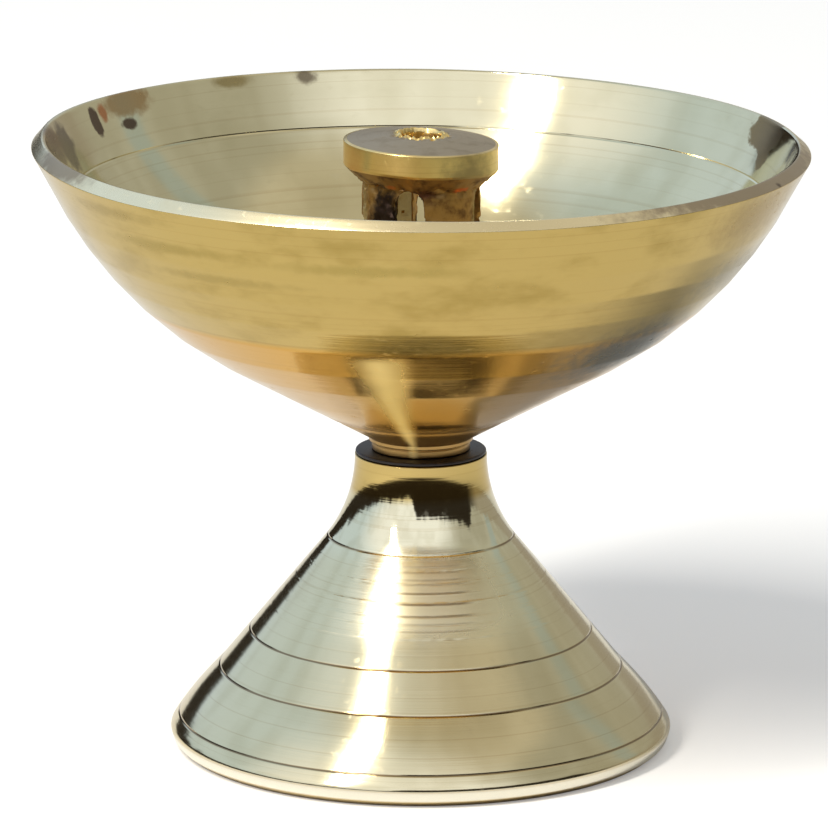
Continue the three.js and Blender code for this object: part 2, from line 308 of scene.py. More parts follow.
def off_axis(tree, x, y):
    """Distance of a point from the upright axis."""
    return maths(tree, "SQRT", plus(tree, times(tree, x, x), times(tree, y, y)))


def smooth(tree, value, start, end):
    """Rises softly from 0 at start to 1 at end, and falls where end is the lower one."""
    made = node(tree, "ShaderNodeMapRange", interpolation_type="SMOOTHSTEP",
                sockets={"From Min": start, "From Max": end})
    tree.links.new(value, made.inputs["Value"])
    return made.outputs["Result"]


def blend(tree, factor, first, second):
    """Mixes two colours, or colour sockets, by a factor socket."""
    made = node(tree, "ShaderNodeMix", data_type="RGBA")
    tree.links.new(factor, made.inputs["Factor"])
    for label, value in (("A", first), ("B", second)):
        if isinstance(value, bpy.types.NodeSocket):
            tree.links.new(value, made.inputs[label])
        else:
            made.inputs[label].default_value = (*value, 1)
    return made.outputs["Result"]


FLOAT, VECTOR = "NodeSocketFloat", "NodeSocketVector"
PER_METRE = 1000.0
print("node helpers ready, sizes in a material are", PER_METRE, "per metre")

# %% [markdown]
# Tool rings run round the piece, so their pattern depends only on how far along the outline a
# point is. For a slope that is a mix of its height and its radius. A one-dimensional noise along
# that distance gives rings of uneven depth, as a hand-fed tool leaves.

# %% Tool rings group
RING_INPUTS = ("Rings per mm", "Radius share", "Height share", "Unevenness")
LEAST_RING = 0.4
DEEP_RING, DEEP_CONTRAST = 0.42, 5.0


def tool_rings_group():
    """Rings of uneven depth: their height, and a mask of the deep ones."""
    group, given, out = new_group("tool_rings", [(label, FLOAT, 0.5) for label in RING_INPUTS],
                                  [("Height", FLOAT), ("Depth mask", FLOAT)])
    x, y, z = object_place(group)
    along = plus(group, times(group, off_axis(group, x, y), given.outputs["Radius share"]),
                 times(group, z, given.outputs["Height share"]))
    along_mm = times(group, along, PER_METRE)
    fine = node(group, "ShaderNodeTexNoise", noise_dimensions="1D",
                sockets={"Scale": 1.0, "Detail": 3.0, "Roughness": 0.65})
    group.links.new(times(group, along_mm, given.outputs["Rings per mm"]), fine.inputs["W"])
    broad = node(group, "ShaderNodeTexNoise", noise_dimensions="1D",
                 sockets={"Scale": 0.35, "Detail": 2.0, "Roughness": 0.6})
    group.links.new(along_mm, broad.inputs["W"])
    weight = plus(group, LEAST_RING, times(group, broad.outputs["Fac"], given.outputs["Unevenness"]))
    group.links.new(times(group, fine.outputs["Fac"], weight), out.inputs["Height"])
    deep = times(group, maths(group, "SUBTRACT", DEEP_RING, fine.outputs["Fac"]), DEEP_CONTRAST)
    group.links.new(maths(group, "MAXIMUM", deep, 0.0), out.inputs["Depth mask"])
    return group


tool_rings = tool_rings_group()
print("group", tool_rings.name, "made")

# %% [markdown]
# Handling leaves stains a centimetre or two across, softer and browner than the clean metal, and
# specks about a millimetre wide. Two noises of different scale give the two masks, and the flatness
# draws them out round the piece, along the way in which the cloth went.

# %% Patina group
STAIN_INPUTS = ("Patch size mm", "Amount", "Speck size mm", "Flatness")
STAIN_KINDS = (("Patches", "Patch size mm", 4.0, 0.45, 0.72), ("Specks", "Speck size mm", 2.0, 0.60, 0.75))


def patina_group():
    """Stains: a mask of broad patches and a mask of small specks."""
    group, given, out = new_group("patina", [(label, FLOAT, 1.0) for label in STAIN_INPUTS],
                                  [("Patches", FLOAT), ("Specks", FLOAT)])
    x, y, z = object_place(group)
    flat = node(group, "ShaderNodeCombineXYZ")
    for axis, value in (("X", x), ("Y", y), ("Z", times(group, z, given.outputs["Flatness"]))):
        group.links.new(value, flat.inputs[axis])
    for label, size_name, detail, low, high in STAIN_KINDS:
        cells = node(group, "ShaderNodeTexNoise", sockets={"Detail": detail, "Roughness": 0.55})
        group.links.new(flat.outputs["Vector"], cells.inputs["Vector"])
        group.links.new(maths(group, "DIVIDE", PER_METRE, given.outputs[size_name]), cells.inputs["Scale"])
        spread = smooth(group, cells.outputs["Fac"], low, high)
        group.links.new(times(group, spread, given.outputs["Amount"]), out.inputs[label])
    return group


patina = patina_group()
print("group", patina.name, "made")

# %% [markdown]
# A few spots sit in places that no pattern would give, most of them inside the bowl near its
# edge. Some are stains that soot, old oil and damp leave; others are painted shade, painted light
# and painted reflections of dark things round the lamp. A spot is a stretched ball round a chosen
# point, whose edge a noise tears up.

# %% Spot group, for stains and painted light
def stain_and_light_spot_group():
    """A torn spot round a point: a mask that is 1 in its middle."""
    group, given, out = new_group("stain_and_light_spot", [
        ("Centre mm", VECTOR, (0, 0, 0)), ("Reach mm", VECTOR, (1, 1, 1)),
        ("Tear", FLOAT, 0.8), ("Softness", FLOAT, 0.3)], [("Mask", FLOAT)])
    place = node(group, "ShaderNodeVectorMath", operation="SCALE", sockets={"Scale": PER_METRE})
    group.links.new(node(group, "ShaderNodeTexCoord").outputs["Object"], place.inputs[0])
    off = node(group, "ShaderNodeVectorMath", operation="SUBTRACT")
    share = node(group, "ShaderNodeVectorMath", operation="DIVIDE")
    length = node(group, "ShaderNodeVectorMath", operation="LENGTH")
    group.links.new(place.outputs["Vector"], off.inputs[0])
    group.links.new(given.outputs["Centre mm"], off.inputs[1])
    group.links.new(off.outputs["Vector"], share.inputs[0])
    group.links.new(given.outputs["Reach mm"], share.inputs[1])
    group.links.new(share.outputs["Vector"], length.inputs[0])
    cells = node(group, "ShaderNodeTexNoise", sockets={"Scale": 0.8, "Detail": 3.0, "Roughness": 0.6})
    group.links.new(place.outputs["Vector"], cells.inputs["Vector"])
    torn = times(group, maths(group, "SUBTRACT", cells.outputs["Fac"], 0.5), given.outputs["Tear"])
    edge = node(group, "ShaderNodeMapRange", interpolation_type="SMOOTHSTEP",
                sockets={"From Max": 1.0, "To Min": 1.0, "To Max": 0.0})
    group.links.new(maths(group, "SUBTRACT", 1.0, given.outputs["Softness"]), edge.inputs["From Min"])
    group.links.new(plus(group, length.outputs["Value"], torn), edge.inputs["Value"])
    group.links.new(edge.outputs["Result"], out.inputs["Mask"])
    return group


stain_and_light_spot = stain_and_light_spot_group()
print("group", stain_and_light_spot.name, "made")

# %% [markdown]
# ## The brass finishes
# Each finish is a Principled shader with a metallic value of one. Its base colour drifts from
# clean metal to stained metal by the patina mask, and the tool rings darken it a little in their
# depths and bend its normal. What only some of the pieces have, such as tones at certain heights,
# spots of stain and of painted light, or scribed lines, is laid over that by a helper of its own.

# %% Places on a piece
def height_mm(tree):
    """Height above the foot in millimetres, in the piece's own space."""
    return times(tree, object_place(tree)[2], PER_METRE)


def side_share(tree):
    """Sine of the turn from the front, to the right, and a factor that is 1 on the front half."""
    x, y, _ = object_place(tree)
    return maths(tree, "DIVIDE", x, off_axis(tree, x, y)), maths(tree, "LESS_THAN", y, 0.0)


print("a material knows the height and the side of each point")

# %% Tones, stains and painted light
def toned(tree, colour, finish, tones):
    """Lays tones over a colour and a roughness, each (colour, height where it starts, height where
    it is full, how much duller it is)."""
    for tone, start, full, duller in tones:
        reached = smooth(tree, height_mm(tree), start, full)
        colour = blend(tree, reached, colour, tone)
        finish = plus(tree, finish, times(tree, reached, duller))
    return colour, finish


def stained_and_lit(tree, colour, stains_and_light):
    """Lays spots over a colour, stains and painted light alike, and gives one mask of them all. Each is
    (turn from the front, radius, height, reach along the round, reach upwards, softness, colour), in
    degrees and millimetres."""
    mask = 0.0
    for turn, radius, height, across, upwards, softness, tone in stains_and_light:
        spot = node(tree, "ShaderNodeGroup", node_tree=stain_and_light_spot)
        angle = math.radians(turn)
        spot.inputs["Centre mm"].default_value = (radius * math.sin(angle), -radius * math.cos(angle), height)
        spot.inputs["Reach mm"].default_value = (across, across, upwards)
        spot.inputs["Softness"].default_value = softness
        colour = blend(tree, spot.outputs["Mask"], colour, tone)
        mask = maths(tree, "MAXIMUM", spot.outputs["Mask"], mask)
    return colour, mask


print("tones and smudges can be laid over a brass")

# %% [markdown]
# Three things are there on the front alone. The tool strokes of the cone are darker. The metal
# between them is duller and painted lighter, a painted reflection. A narrow fan of coarser
# brushing runs down the bowl's underside, rougher and painted lighter, a painted reflection of the
# lamp's streak. They fade out to both sides by the sine of the turn.

# %% Lines, strokes and fan
# A darker colour along the scribed lines and the tool strokes.
LINE_DARK = (0.27, 0.19, 0.10)
LINE_REACH = (0.12, 0.04)
STROKE_MIDDLE = 0.09
STROKE_SIDES = (0.36, 0.20)
STROKE_REACH = (0.16, 0.03)
# A painted reflection: the front of the cone between the tool strokes is painted lighter here, and made
# duller.
PAINTED_SHEEN = (0.88, 0.80, 0.53)
SHEEN_DULL = 0.20
SHEEN_SIDES = (0.85, 0.35)
SHEEN_FOOT = (13.2, 16.8)
SHEEN_HEAD = (23.4, 22.2)
# A painted reflection: the fan is painted lighter than the bowl, and the next value makes it rougher.
FAN_SHEEN = (0.98, 0.76, 0.32)
FAN_DULL = 0.34


def darkened_line(tree, colour, line, reach, shown=1.0):
    """A darker line at one height, as strong as shown says."""
    mask = smooth(tree, apart(tree, height_mm(tree), line), *reach)
    return blend(tree, times(tree, mask, shown), colour, LINE_DARK)


def stroked(tree, colour, finish, strokes):
    """Makes the front between the strokes duller and paints it lighter, a painted reflection, and
    darkens each stroke (height, strength).
    """
    share, front = side_share(tree)
    off_side = apart(tree, share, STROKE_MIDDLE)
    sides = times(tree, smooth(tree, off_side, *SHEEN_SIDES), front)
    heights = times(tree, smooth(tree, height_mm(tree), *SHEEN_FOOT),
                    smooth(tree, height_mm(tree), *SHEEN_HEAD))
    sheen = times(tree, sides, heights)
    colour = blend(tree, sheen, colour, PAINTED_SHEEN)
    shown = times(tree, smooth(tree, off_side, *STROKE_SIDES), front)
    for line, strength in strokes:
        colour = darkened_line(tree, colour, line, STROKE_REACH, times(tree, shown, strength))
    return colour, plus(tree, finish, times(tree, sheen, SHEEN_DULL))


def fanned(tree, colour, finish, fan):
    """Makes a strip at the front rougher and paints it lighter, a painted reflection of the lamp's
    streak. A fan is (middle, half width, height where it starts, height where it is full)."""
    middle, half_width, start, full = fan
    share, front = side_share(tree)
    sides = smooth(tree, apart(tree, share, middle), half_width, 0.0)
    fan_sheen = times(tree, sides, times(tree, front, smooth(tree, height_mm(tree), start, full)))
    return blend(tree, fan_sheen, colour, FAN_SHEEN), plus(tree, finish, times(tree, fan_sheen, FAN_DULL))


print("lines, strokes and a fan can be laid over a brass")

# %% Brass material
RING_DIRT = (0.62, 0.50, 0.36)
RING_DIRT_SHARE = 0.35
PATCH_DULL, SPECK_DULL, STAIN_AND_LIGHT_DULL = 0.10, 0.15, 0.12
ROUND_THE_AXIS = 0.25
RING_RELIEF = 0.06 * MM


def brass(name, clean, stained, roughness, rings, stains, bump, aniso, tones=(), lines=(), strokes=(),
          stains_and_light=(), fan=None):
    """A turned brass. rings is (per mm, radius share, height share, unevenness), and stains is
    (patch mm, amount, speck mm, flatness)."""
    material = bpy.data.materials.new(name)
    material.use_nodes = True
    tree = material.node_tree
    shader = tree.nodes["Principled BSDF"]
    shader.inputs["Metallic"].default_value = 1.0
    shader.inputs["Anisotropic"].default_value = aniso
    shader.inputs["Anisotropic Rotation"].default_value = ROUND_THE_AXIS
    turns = node(tree, "ShaderNodeGroup", node_tree=tool_rings, sockets=dict(zip(RING_INPUTS, rings)))
    marks = node(tree, "ShaderNodeGroup", node_tree=patina, sockets=dict(zip(STAIN_INPUTS, stains)))
    colour = blend(tree, marks.outputs["Patches"], clean, stained)
    colour, finish = toned(tree, colour, roughness, tones)
    darker = node(tree, "ShaderNodeMix", data_type="RGBA", blend_type="MULTIPLY")
    darker.inputs["B"].default_value = (*RING_DIRT, 1)
    tree.links.new(colour, darker.inputs["A"])
    tree.links.new(times(tree, turns.outputs["Depth mask"], RING_DIRT_SHARE), darker.inputs["Factor"])
    colour, stain_and_light_mask = stained_and_lit(tree, darker.outputs["Result"], stains_and_light)
    for line in lines:
        colour = darkened_line(tree, colour, line, LINE_REACH)
    if strokes:
        colour, finish = stroked(tree, colour, finish, strokes)
    for mask, dull in ((marks.outputs["Patches"], PATCH_DULL), (marks.outputs["Specks"], SPECK_DULL),
                       (stain_and_light_mask, STAIN_AND_LIGHT_DULL)):
        finish = plus(tree, finish, times(tree, mask, dull))
    if fan:
        colour, finish = fanned(tree, colour, finish, fan)
    tree.links.new(colour, shader.inputs["Base Color"])
    tree.links.new(finish, shader.inputs["Roughness"])
    relief = node(tree, "ShaderNodeBump", sockets={"Strength": bump, "Distance": RING_RELIEF})
    tree.links.new(turns.outputs["Height"], relief.inputs["Height"])
    tree.links.new(relief.outputs["Normal"], shader.inputs["Normal"])
    return material


print("brass can be mixed")

# %% [markdown]
# The pedestal is pale brass, polished brighter towards the neck and yellow on the neck itself. Its
# foot edge is painted nearly white above, a painted reflection, and is darker and more golden below.
# The heights of its lines and tool strokes are set here, because the darker lines and the cuts in
# the mesh share them.

# %% Pale brass
SKIRT_HEIGHT = 8.2
SCRIBED = (3.2, SKIRT_HEIGHT, 12.1, 22.1)
FINE_GROOVES = (21.15, 20.65, 20.0, 19.6, 18.82, 17.86, 16.82, 16.13, 15.5, 14.8)
FINE_DEPTHS = (0.001, 0.002, 0.002, 0.002, 0.005, 0.006, 0.005, 0.002, 0.002, 0.001)
LEAST_STROKE, STROKE_PER_MM = 0.1, 120
PALE_TONES = [
    ((0.74, 0.66, 0.43), 20.0, 22.5, -0.06),
    ((0.60, 0.44, 0.16), 26.6, 27.6, 0.0),
    # A painted reflection: the foot roll is painted nearly white; below it the edge is darker and more
    # golden.
    ((0.95, 0.92, 0.79), 1.9, 1.5, 0.06),
    ((0.60, 0.45, 0.19), 0.75, 0.45, 0.0),
]

strokes = [(line, LEAST_STROKE + STROKE_PER_MM * depth) for line, depth in zip(FINE_GROOVES, FINE_DEPTHS)]
pale_brass = brass("pale_brass", (0.71, 0.61, 0.37), (0.60, 0.49, 0.27), 0.12,
                   (2.4, -0.63, 0.78, 0.6), (16.0, 0.4, 1.1, 1.0), 0.12, 0.6,
                   tones=PALE_TONES, lines=SCRIBED, strokes=strokes)
print("pale brass with", len(SCRIBED), "scribed lines and", len(strokes), "strokes")

# %% [markdown]
# The bowl's outside is a deeper yellow, and its lower cone is painted amber, a painted reflection of the
# pedestal's brass, down to a dull brown boss.
# Long thin stains run round it on the left. On the right, darker patches and a greyish one low down are
# painted reflections of the lamp's shadow on the floor.

# %% Golden brass
# The first tone, amber on the bowl's lower cone, is a painted reflection of the pedestal's brass.
GOLDEN_TONES = [((0.66, 0.38, 0.075), 48.4, 47.6, 0.0), ((0.50, 0.31, 0.11), 36.2, 35.2, 0.2)]
# The fan below the bowl is painted lighter, a painted reflection of the lamp's streak, and is rougher.
BOWL_FAN = (-0.15, 0.14, 48.0, 46.5)
BOWL_STAINS_AND_MIRRORED_SHADE = [
    # The first three spots, on the right, are painted reflections of the lamp's shadow on the floor, the
    # greyish one low down most of all; the last four are thin stains.
    (62.0, 38.0, 60.0, 13.0, 4.5, 0.8, (0.42, 0.29, 0.09)),
    (50.0, 26.0, 46.0, 12.0, 5.5, 0.8, (0.19, 0.17, 0.115)),
    (68.0, 34.0, 53.0, 12.0, 4.0, 0.8, (0.36, 0.29, 0.14)),
    (308.0, 38.5, 61.2, 9.0, 1.0, 0.8, (0.44, 0.32, 0.10)),
    (318.0, 37.0, 58.4, 12.0, 0.9, 0.8, (0.45, 0.33, 0.10)),
    (326.0, 35.0, 55.6, 12.0, 0.8, 0.8, (0.46, 0.34, 0.11)),
    (352.0, 36.5, 58.0, 14.0, 0.9, 0.8, (0.47, 0.35, 0.11)),
]

golden_brass = brass("golden_brass", (0.57, 0.42, 0.145), (0.42, 0.30, 0.085), 0.11,
                     (1.6, 0.6, 0.8, 0.8), (9.0, 0.8, 1.3, 2.2), 0.12, 0.5,
                     tones=GOLDEN_TONES, fan=BOWL_FAN, stains_and_light=BOWL_STAINS_AND_MIRRORED_SHADE)
# The count takes in the painted reflections of the shadow as well as the stains.
print("golden brass with", len(BOWL_STAINS_AND_MIRRORED_SHADE), "stains")

# %% [markdown]
# The inside is polished like the pedestal. Near its edge, at both ends, it is painted with dark
# reflections of things round the lamp, and it has a few stains at the back. The bevelled lip was
# filed, so it is duller and catches light from all round. Hands have browned it on the left, and a
# long brown patch with a dark spot on the right is a painted reflection of dark things round it.

# %% Inside and lip brass
# The first two colours are painted reflections of dark things round the lamp, and the olive and umber ones
# serve painted reflections too.
MIRRORED_DARK, MIRRORED_RED, OLIVE, UMBER = (0.13, 0.085, 0.05), (0.50, 0.22, 0.09), (0.24, 0.19, 0.115), (0.27, 0.18, 0.07)
INNER_STAINS_AND_REFLECTIONS = [
    # The spots at the two ends, between 235 and 268 degrees and between 92 and 108 degrees, are painted
    # reflections of dark things round the lamp; the two near 200 degrees are stains.
    (235.0, 38.0, 63.4, 5.2, 1.9, 0.5, (0.45, 0.30, 0.14)),
    (236.1, 37.1, 61.3, 1.6, 0.7, 0.4, MIRRORED_DARK),
    (242.0, 38.1, 62.7, 1.0, 1.7, 0.5, MIRRORED_RED),
    (245.0, 37.6, 62.4, 1.1, 2.9, 0.3, MIRRORED_DARK),
    (260.4, 37.2, 61.6, 3.0, 3.4, 0.4, OLIVE),
    (268.0, 38.2, 62.8, 4.6, 3.0, 0.5, (0.30, 0.23, 0.15)),
    (199.0, 38.1, 63.4, 1.6, 1.1, 0.6, OLIVE),
    (212.0, 38.1, 63.6, 3.2, 0.9, 0.7, (0.46, 0.36, 0.17)),
    (108.0, 37.8, 62.3, 4.4, 2.4, 0.2, UMBER),
    (105.5, 36.6, 60.2, 1.7, 1.6, 0.2, UMBER),
    (92.0, 37.7, 62.5, 0.9, 1.9, 0.4, MIRRORED_DARK),
]
LIP_STAINS_AND_REFLECTION = [
    # The long brown patch on the right and its dark spot are painted reflections of dark things round the
    # lamp; the patch on the left is browned by hands.
    (62.0, 39.5, 63.2, 26.0, 1.8, 0.5, (0.44, 0.34, 0.22)),
    (292.0, 39.6, 63.9, 9.0, 1.6, 0.6, (0.40, 0.30, 0.18)),
    (64.5, 39.4, 62.4, 0.7, 0.5, 0.4, MIRRORED_DARK),
]

inner_brass = brass("inner_brass", (0.72, 0.63, 0.39), (0.60, 0.52, 0.30), 0.10,
                    (1.2, 0.6, 0.8, 0.3), (12.0, 0.5, 1.5, 1.5), 0.06, 0.7, stains_and_light=INNER_STAINS_AND_REFLECTIONS)
lip_brass = brass("lip_brass", (0.93, 0.79, 0.50), (0.80, 0.65, 0.38), 0.26,
                  (3.0, 0.6, 0.8, 0.6), (6.0, 0.6, 0.8, 1.0), 0.1, 0.3, stains_and_light=LIP_STAINS_AND_REFLECTION)
print("inside and lip brass with", len(INNER_STAINS_AND_REFLECTIONS) + len(LIP_STAINS_AND_REFLECTION), "stains_and_light")

# %% [markdown]
# The wick holder has three brasses. Its cap band was turned and is bright, its top face is dull
# from heat, and its legs keep the dark red-brown skin of the casting.

# %% Wick holder brass
# Painted light and shade on the cap band: its right side is painted darker as painted shade, and its left
# side a brighter orange gold as painted light from the lamp on the left.
CAP_PAINTED_SHADE_AND_LIGHT = [
    (40.0, 8.0, 60.6, 4.6, 5.0, 0.8, (0.42, 0.32, 0.15)),
    (300.0, 8.0, 60.6, 3.0, 5.0, 0.9, (0.80, 0.50, 0.17)),
]
CAST_SMUDGES = [
    (322.0, 6.0, 54.0, 2.7, 7.4, 0.4, (0.035, 0.022, 0.016)),
    (72.0, 6.0, 54.0, 1.8, 7.0, 0.6, (0.42, 0.36, 0.18)),
    (284.0, 6.0, 54.0, 1.4, 7.0, 0.6, (0.44, 0.34, 0.16)),
    (38.0, 6.6, 59.5, 1.1, 0.5, 0.5, (0.60, 0.17, 0.05)),
    (332.0, 7.0, 59.9, 0.9, 0.4, 0.5, (0.60, 0.22, 0.06)),
    (2.0, 6.6, 59.2, 2.4, 0.8, 0.7, (0.12, 0.05, 0.025)),
]

cap_brass = brass("cap_brass", (0.92, 0.68, 0.27), (0.72, 0.50, 0.18), 0.28,
                  (4.0, 0.0, 1.0, 0.6), (4.0, 0.6, 0.5, 1.0), 0.2, 0.6, stains_and_light=CAP_PAINTED_SHADE_AND_LIGHT)
face_brass = brass("face_brass", (0.44, 0.35, 0.23), (0.33, 0.26, 0.17), 0.42,
                   (4.0, 1.0, 0.0, 0.6), (2.2, 0.8, 0.5, 1.0), 0.2, 0.0)
cast_brass = brass("cast_brass", (0.40, 0.24, 0.085), (0.13, 0.065, 0.025), 0.42,
                   (1.0, 0.5, 0.9, 0.6), (1.6, 0.95, 0.4, 1.0), 0.2, 0.0, stains_and_light=CAST_SMUDGES)
print("cap, face and cast brass with", len(CAP_PAINTED_SHADE_AND_LIGHT) + len(CAST_SMUDGES), "stains_and_light")

# %% [markdown]
# The small parts need little: a colour that drifts with a fine grain, and a slight relief. The
# same helper makes rubber, fibre, the pale cream painted light on a leg of the holder, zinc-plated
# steel and the stud's brass.

# %% Rubber, fibre and steel
STAIN_TO_GRAIN = 5
GRAIN_AMOUNT = 0.9
GRAIN_DULL = 0.2
GRAIN_RELIEF = 0.08 * MM


def plain_finish(name, colour, other, roughness, metallic, grain_mm, bump):
    """A finish whose colour and roughness drift with a fine grain."""
    material = bpy.data.materials.new(name)
    material.use_nodes = True
    tree = material.node_tree
    shader = tree.nodes["Principled BSDF"]
    shader.inputs["Metallic"].default_value = metallic
    marks = node(tree, "ShaderNodeGroup", node_tree=patina, sockets={
        "Patch size mm": STAIN_TO_GRAIN * grain_mm, "Amount": GRAIN_AMOUNT, "Speck size mm": grain_mm})
    tree.links.new(blend(tree, marks.outputs["Patches"], colour, other), shader.inputs["Base Color"])
    tree.links.new(plus(tree, roughness, times(tree, marks.outputs["Specks"], GRAIN_DULL)),
                   shader.inputs["Roughness"])
    relief = node(tree, "ShaderNodeBump", sockets={"Strength": bump, "Distance": GRAIN_RELIEF})
    tree.links.new(marks.outputs["Specks"], relief.inputs["Height"])
    tree.links.new(relief.outputs["Normal"], shader.inputs["Normal"])
    return material


rubber = plain_finish("black_rubber", (0.014, 0.009, 0.007), (0.035, 0.022, 0.016), 0.38, 0.0, 0.3, 0.3)
# Painted light: a pale cream that stands for light falling on the inner face of a rear leg of the wick
# holder.
leg_light_paint = plain_finish("leg_light_paint", (0.90, 0.82, 0.52), (0.78, 0.66, 0.36), 0.45, 0.0, 0.4, 0.3)
fibre = plain_finish("fibre", (0.20, 0.06, 0.04), (0.12, 0.035, 0.025), 0.75, 0.0, 0.3, 0.5)
steel = plain_finish("fastener_steel", (0.55, 0.56, 0.57), (0.42, 0.43, 0.43), 0.3, 1.0, 0.5, 0.2)
stud_brass = plain_finish("stud_brass", (0.62, 0.47, 0.20), (0.42, 0.30, 0.12), 0.3, 1.0, 0.5, 0.2)
print("finishes in all:", len(bpy.data.materials))

# %% [markdown]
# ## The pedestal
# The pedestal is one hollow turning. Its side is a straight cone that flares up into a short
# neck, and its foot is rolled under. Four lines are scribed round it. They are real cuts here,
# so they catch light from every side.

# %% Pedestal's outside
FOOT_EDGE_HEIGHT = 1.75
CONE_DEGREES = -39.1
SKIRT_SWELL = 0.3
NECK_RADIUS = 6.85
FLARE_ROUND = 14.6
SCRIBE_HALF = 0.13
SCRIBE_DEPTH = 0.05
FINE_HALF = 0.12
GROOVE_CLEAR = 0.02
GROOVE_ROUND = 0.4
CONE_WAVES = ((0.45, 0.0015), (1.1, 0.003), (3.4, 0.004))

cone = (foot_radius, FOOT_EDGE_HEIGHT, CONE_DEGREES)
flare_corner = meeting(*cone, NECK_RADIUS, pedestal_top, 0.0)


def flare_radius(height):
    """Radius of the pedestal's outside at a height, with its swell and its flare."""
    half = math.radians(abs(CONE_DEGREES)) / 2
    reach = FLARE_ROUND * math.tan(half)
    low = flare_corner[1] - reach * math.cos(2 * half)
    if height > low:
        drop = min(FLARE_ROUND, max(0.0, flare_corner[1] + reach - height))
        return NECK_RADIUS + FLARE_ROUND - math.sqrt(FLARE_ROUND ** 2 - drop ** 2)
    share = (height - FOOT_EDGE_HEIGHT) / (SKIRT_HEIGHT - FOOT_EDGE_HEIGHT)
    swell = SKIRT_SWELL * math.sin(math.pi * share) if 0 < share < 1 else 0.0
    return on_run(*cone, height) + swell


def grooved(side, cuts):
    """Cuts vee grooves, each (height, half width, depth), into a side. A depth below zero cuts
    the other way, into the wall from inside."""
    side = sorted(side, key=lambda place: place.y)
    heights = [place.y for place in side]
    radii = [place.x for place in side]
    corners = [(place.x, place.y, 0) for place in side
               if all(abs(place.y - line) > half + GROOVE_CLEAR for line, half, depth in cuts)]
    for line, half, depth in cuts:
        for offset, sunk in ((-half, 0.0), (0.0, depth), (half, 0.0)):
            radius = np.interp(line + offset, heights, radii) - sunk
            corners.append((radius, line + offset, GROOVE_ROUND * half))
    return sorted(corners, key=lambda corner: corner[1])


def scribed_side(low, high, step):
    """The outside from low to high, with its scribed lines, and points for the fine tool marks."""
    side = tooled([Vector((flare_radius(z), z)) for z in np.arange(low, high, step)], CONE_WAVES)
    return grooved(side, [(line, SCRIBE_HALF, SCRIBE_DEPTH) for line in SCRIBED]
                   + [(line, FINE_HALF, 0.0) for line in FINE_GROOVES])


print("the cone turns into the flare at height", round(flare_corner[1], 2))

# %% Pedestal
FOOT_OVERHANG = 1.2
FOOT_FACE_WIDTH = 1.6
PEDESTAL_WALL = 1.9
WEB_HEIGHT = 21.5
HOLE_RADIUS = 2.55
SIDE_STEP = 0.14

inner_low = foot_radius - PEDESTAL_WALL / math.cos(math.radians(CONE_DEGREES))
foot_face_radius = foot_radius - FOOT_OVERHANG
foot_inside = foot_face_radius - FOOT_FACE_WIDTH
foot_inside_top = FOOT_EDGE_HEIGHT + (inner_low - foot_inside) / math.tan(math.radians(-CONE_DEGREES))
inner_top = on_run(inner_low, FOOT_EDGE_HEIGHT, CONE_DEGREES, WEB_HEIGHT)
pedestal = turned("pedestal_turned", [
    (foot_inside, 0.0, 0.2),
    (foot_face_radius, 0.0, 0.0),
    (foot_radius - 0.42, 0.6, 0.8),
    (foot_radius - 0.02, FOOT_EDGE_HEIGHT, 1.2),
    *scribed_side(FOOT_EDGE_HEIGHT + 0.7, pedestal_top - 0.1, SIDE_STEP),
    (NECK_RADIUS, pedestal_top, 0.12),
    (HOLE_RADIUS, pedestal_top, 0.1),
    (HOLE_RADIUS, WEB_HEIGHT, 0.1),
    (inner_top, WEB_HEIGHT, 2.0),
    (foot_inside, foot_inside_top, 0.5),
])

# %% [markdown]
# Finer tool marks show at the front only, where polishing has not worn them away. The turned
# points of the cone are pushed in there, deepest in the middle of each mark and less to both sides.

# %% Fine tool marks
MARKS_LOW, MARKS_HIGH = FINE_GROOVES[-1] - 1, FINE_GROOVES[0] + 1
MARK_SIDES = (0.7, 0.25)

marked = 0
for vertex in pedestal.data.vertices:
    place = vertex.co / MM
    if place.y > 0 or place.xy.length < inner_top or not MARKS_LOW < place.z < MARKS_HIGH:
        continue
    worn = soft_step(abs(place.x / place.xy.length - STROKE_MIDDLE), *MARK_SIDES)
    depth = sum(deep * max(0.0, 1 - abs(place.z - line) / FINE_HALF)
                for line, deep in zip(FINE_GROOVES, FINE_DEPTHS))
    vertex.co -= Vector((place.x, place.y, 0)).normalized() * depth * worn * MM
    marked += depth * worn > 0
print("tool marks push in", marked, "points")
finish_piece(pedestal, "base", "pedestal", pale_brass)

# %% [markdown]
# ## The bowl
# The bowl's outside is a straight cone below, a long curve, and a nearly straight wall above. Its
# lip is bevelled outwards. The tool left faint flat bands round the outside, so the wall here is
# a row of narrow bands that lean a little differently. The inside runs beside it, a wall's
# thickness in, and has one scribed line for the oil.

# %% Bowl's two sides
WALL_DEGREES = 27.9
BOWL_CONE_DEGREES = 61.1
BOWL_CURVE = 42.6
BOWL_WALL = 1.8
LIP_RISE = 1.25
LIP_EDGE_DROP = 0.1
BOSS_RADIUS = 5.4
BOSS_HEIGHT = 1.4
FLOOR_HEIGHT = 5.0
RING_HEIGHT = 3.6
RING_HALF = 0.3
RING_DEPTH = 0.25
BANDS = 8
BAND_PITCH = 3.0
BAND_STEP = 0.07
BAND_SEED = 7.3
BAND_PIECE, INNER_PIECE = 0.25, 0.4
OIL_LINE_DROP = 5.7
RIM_CLEAR = 0.3
BOWL_WAVES = ((0.55, 0.005), (1.3, 0.010), (5.0, 0.03))
INNER_WAVES = ((0.8, 0.004), (2.6, 0.012))

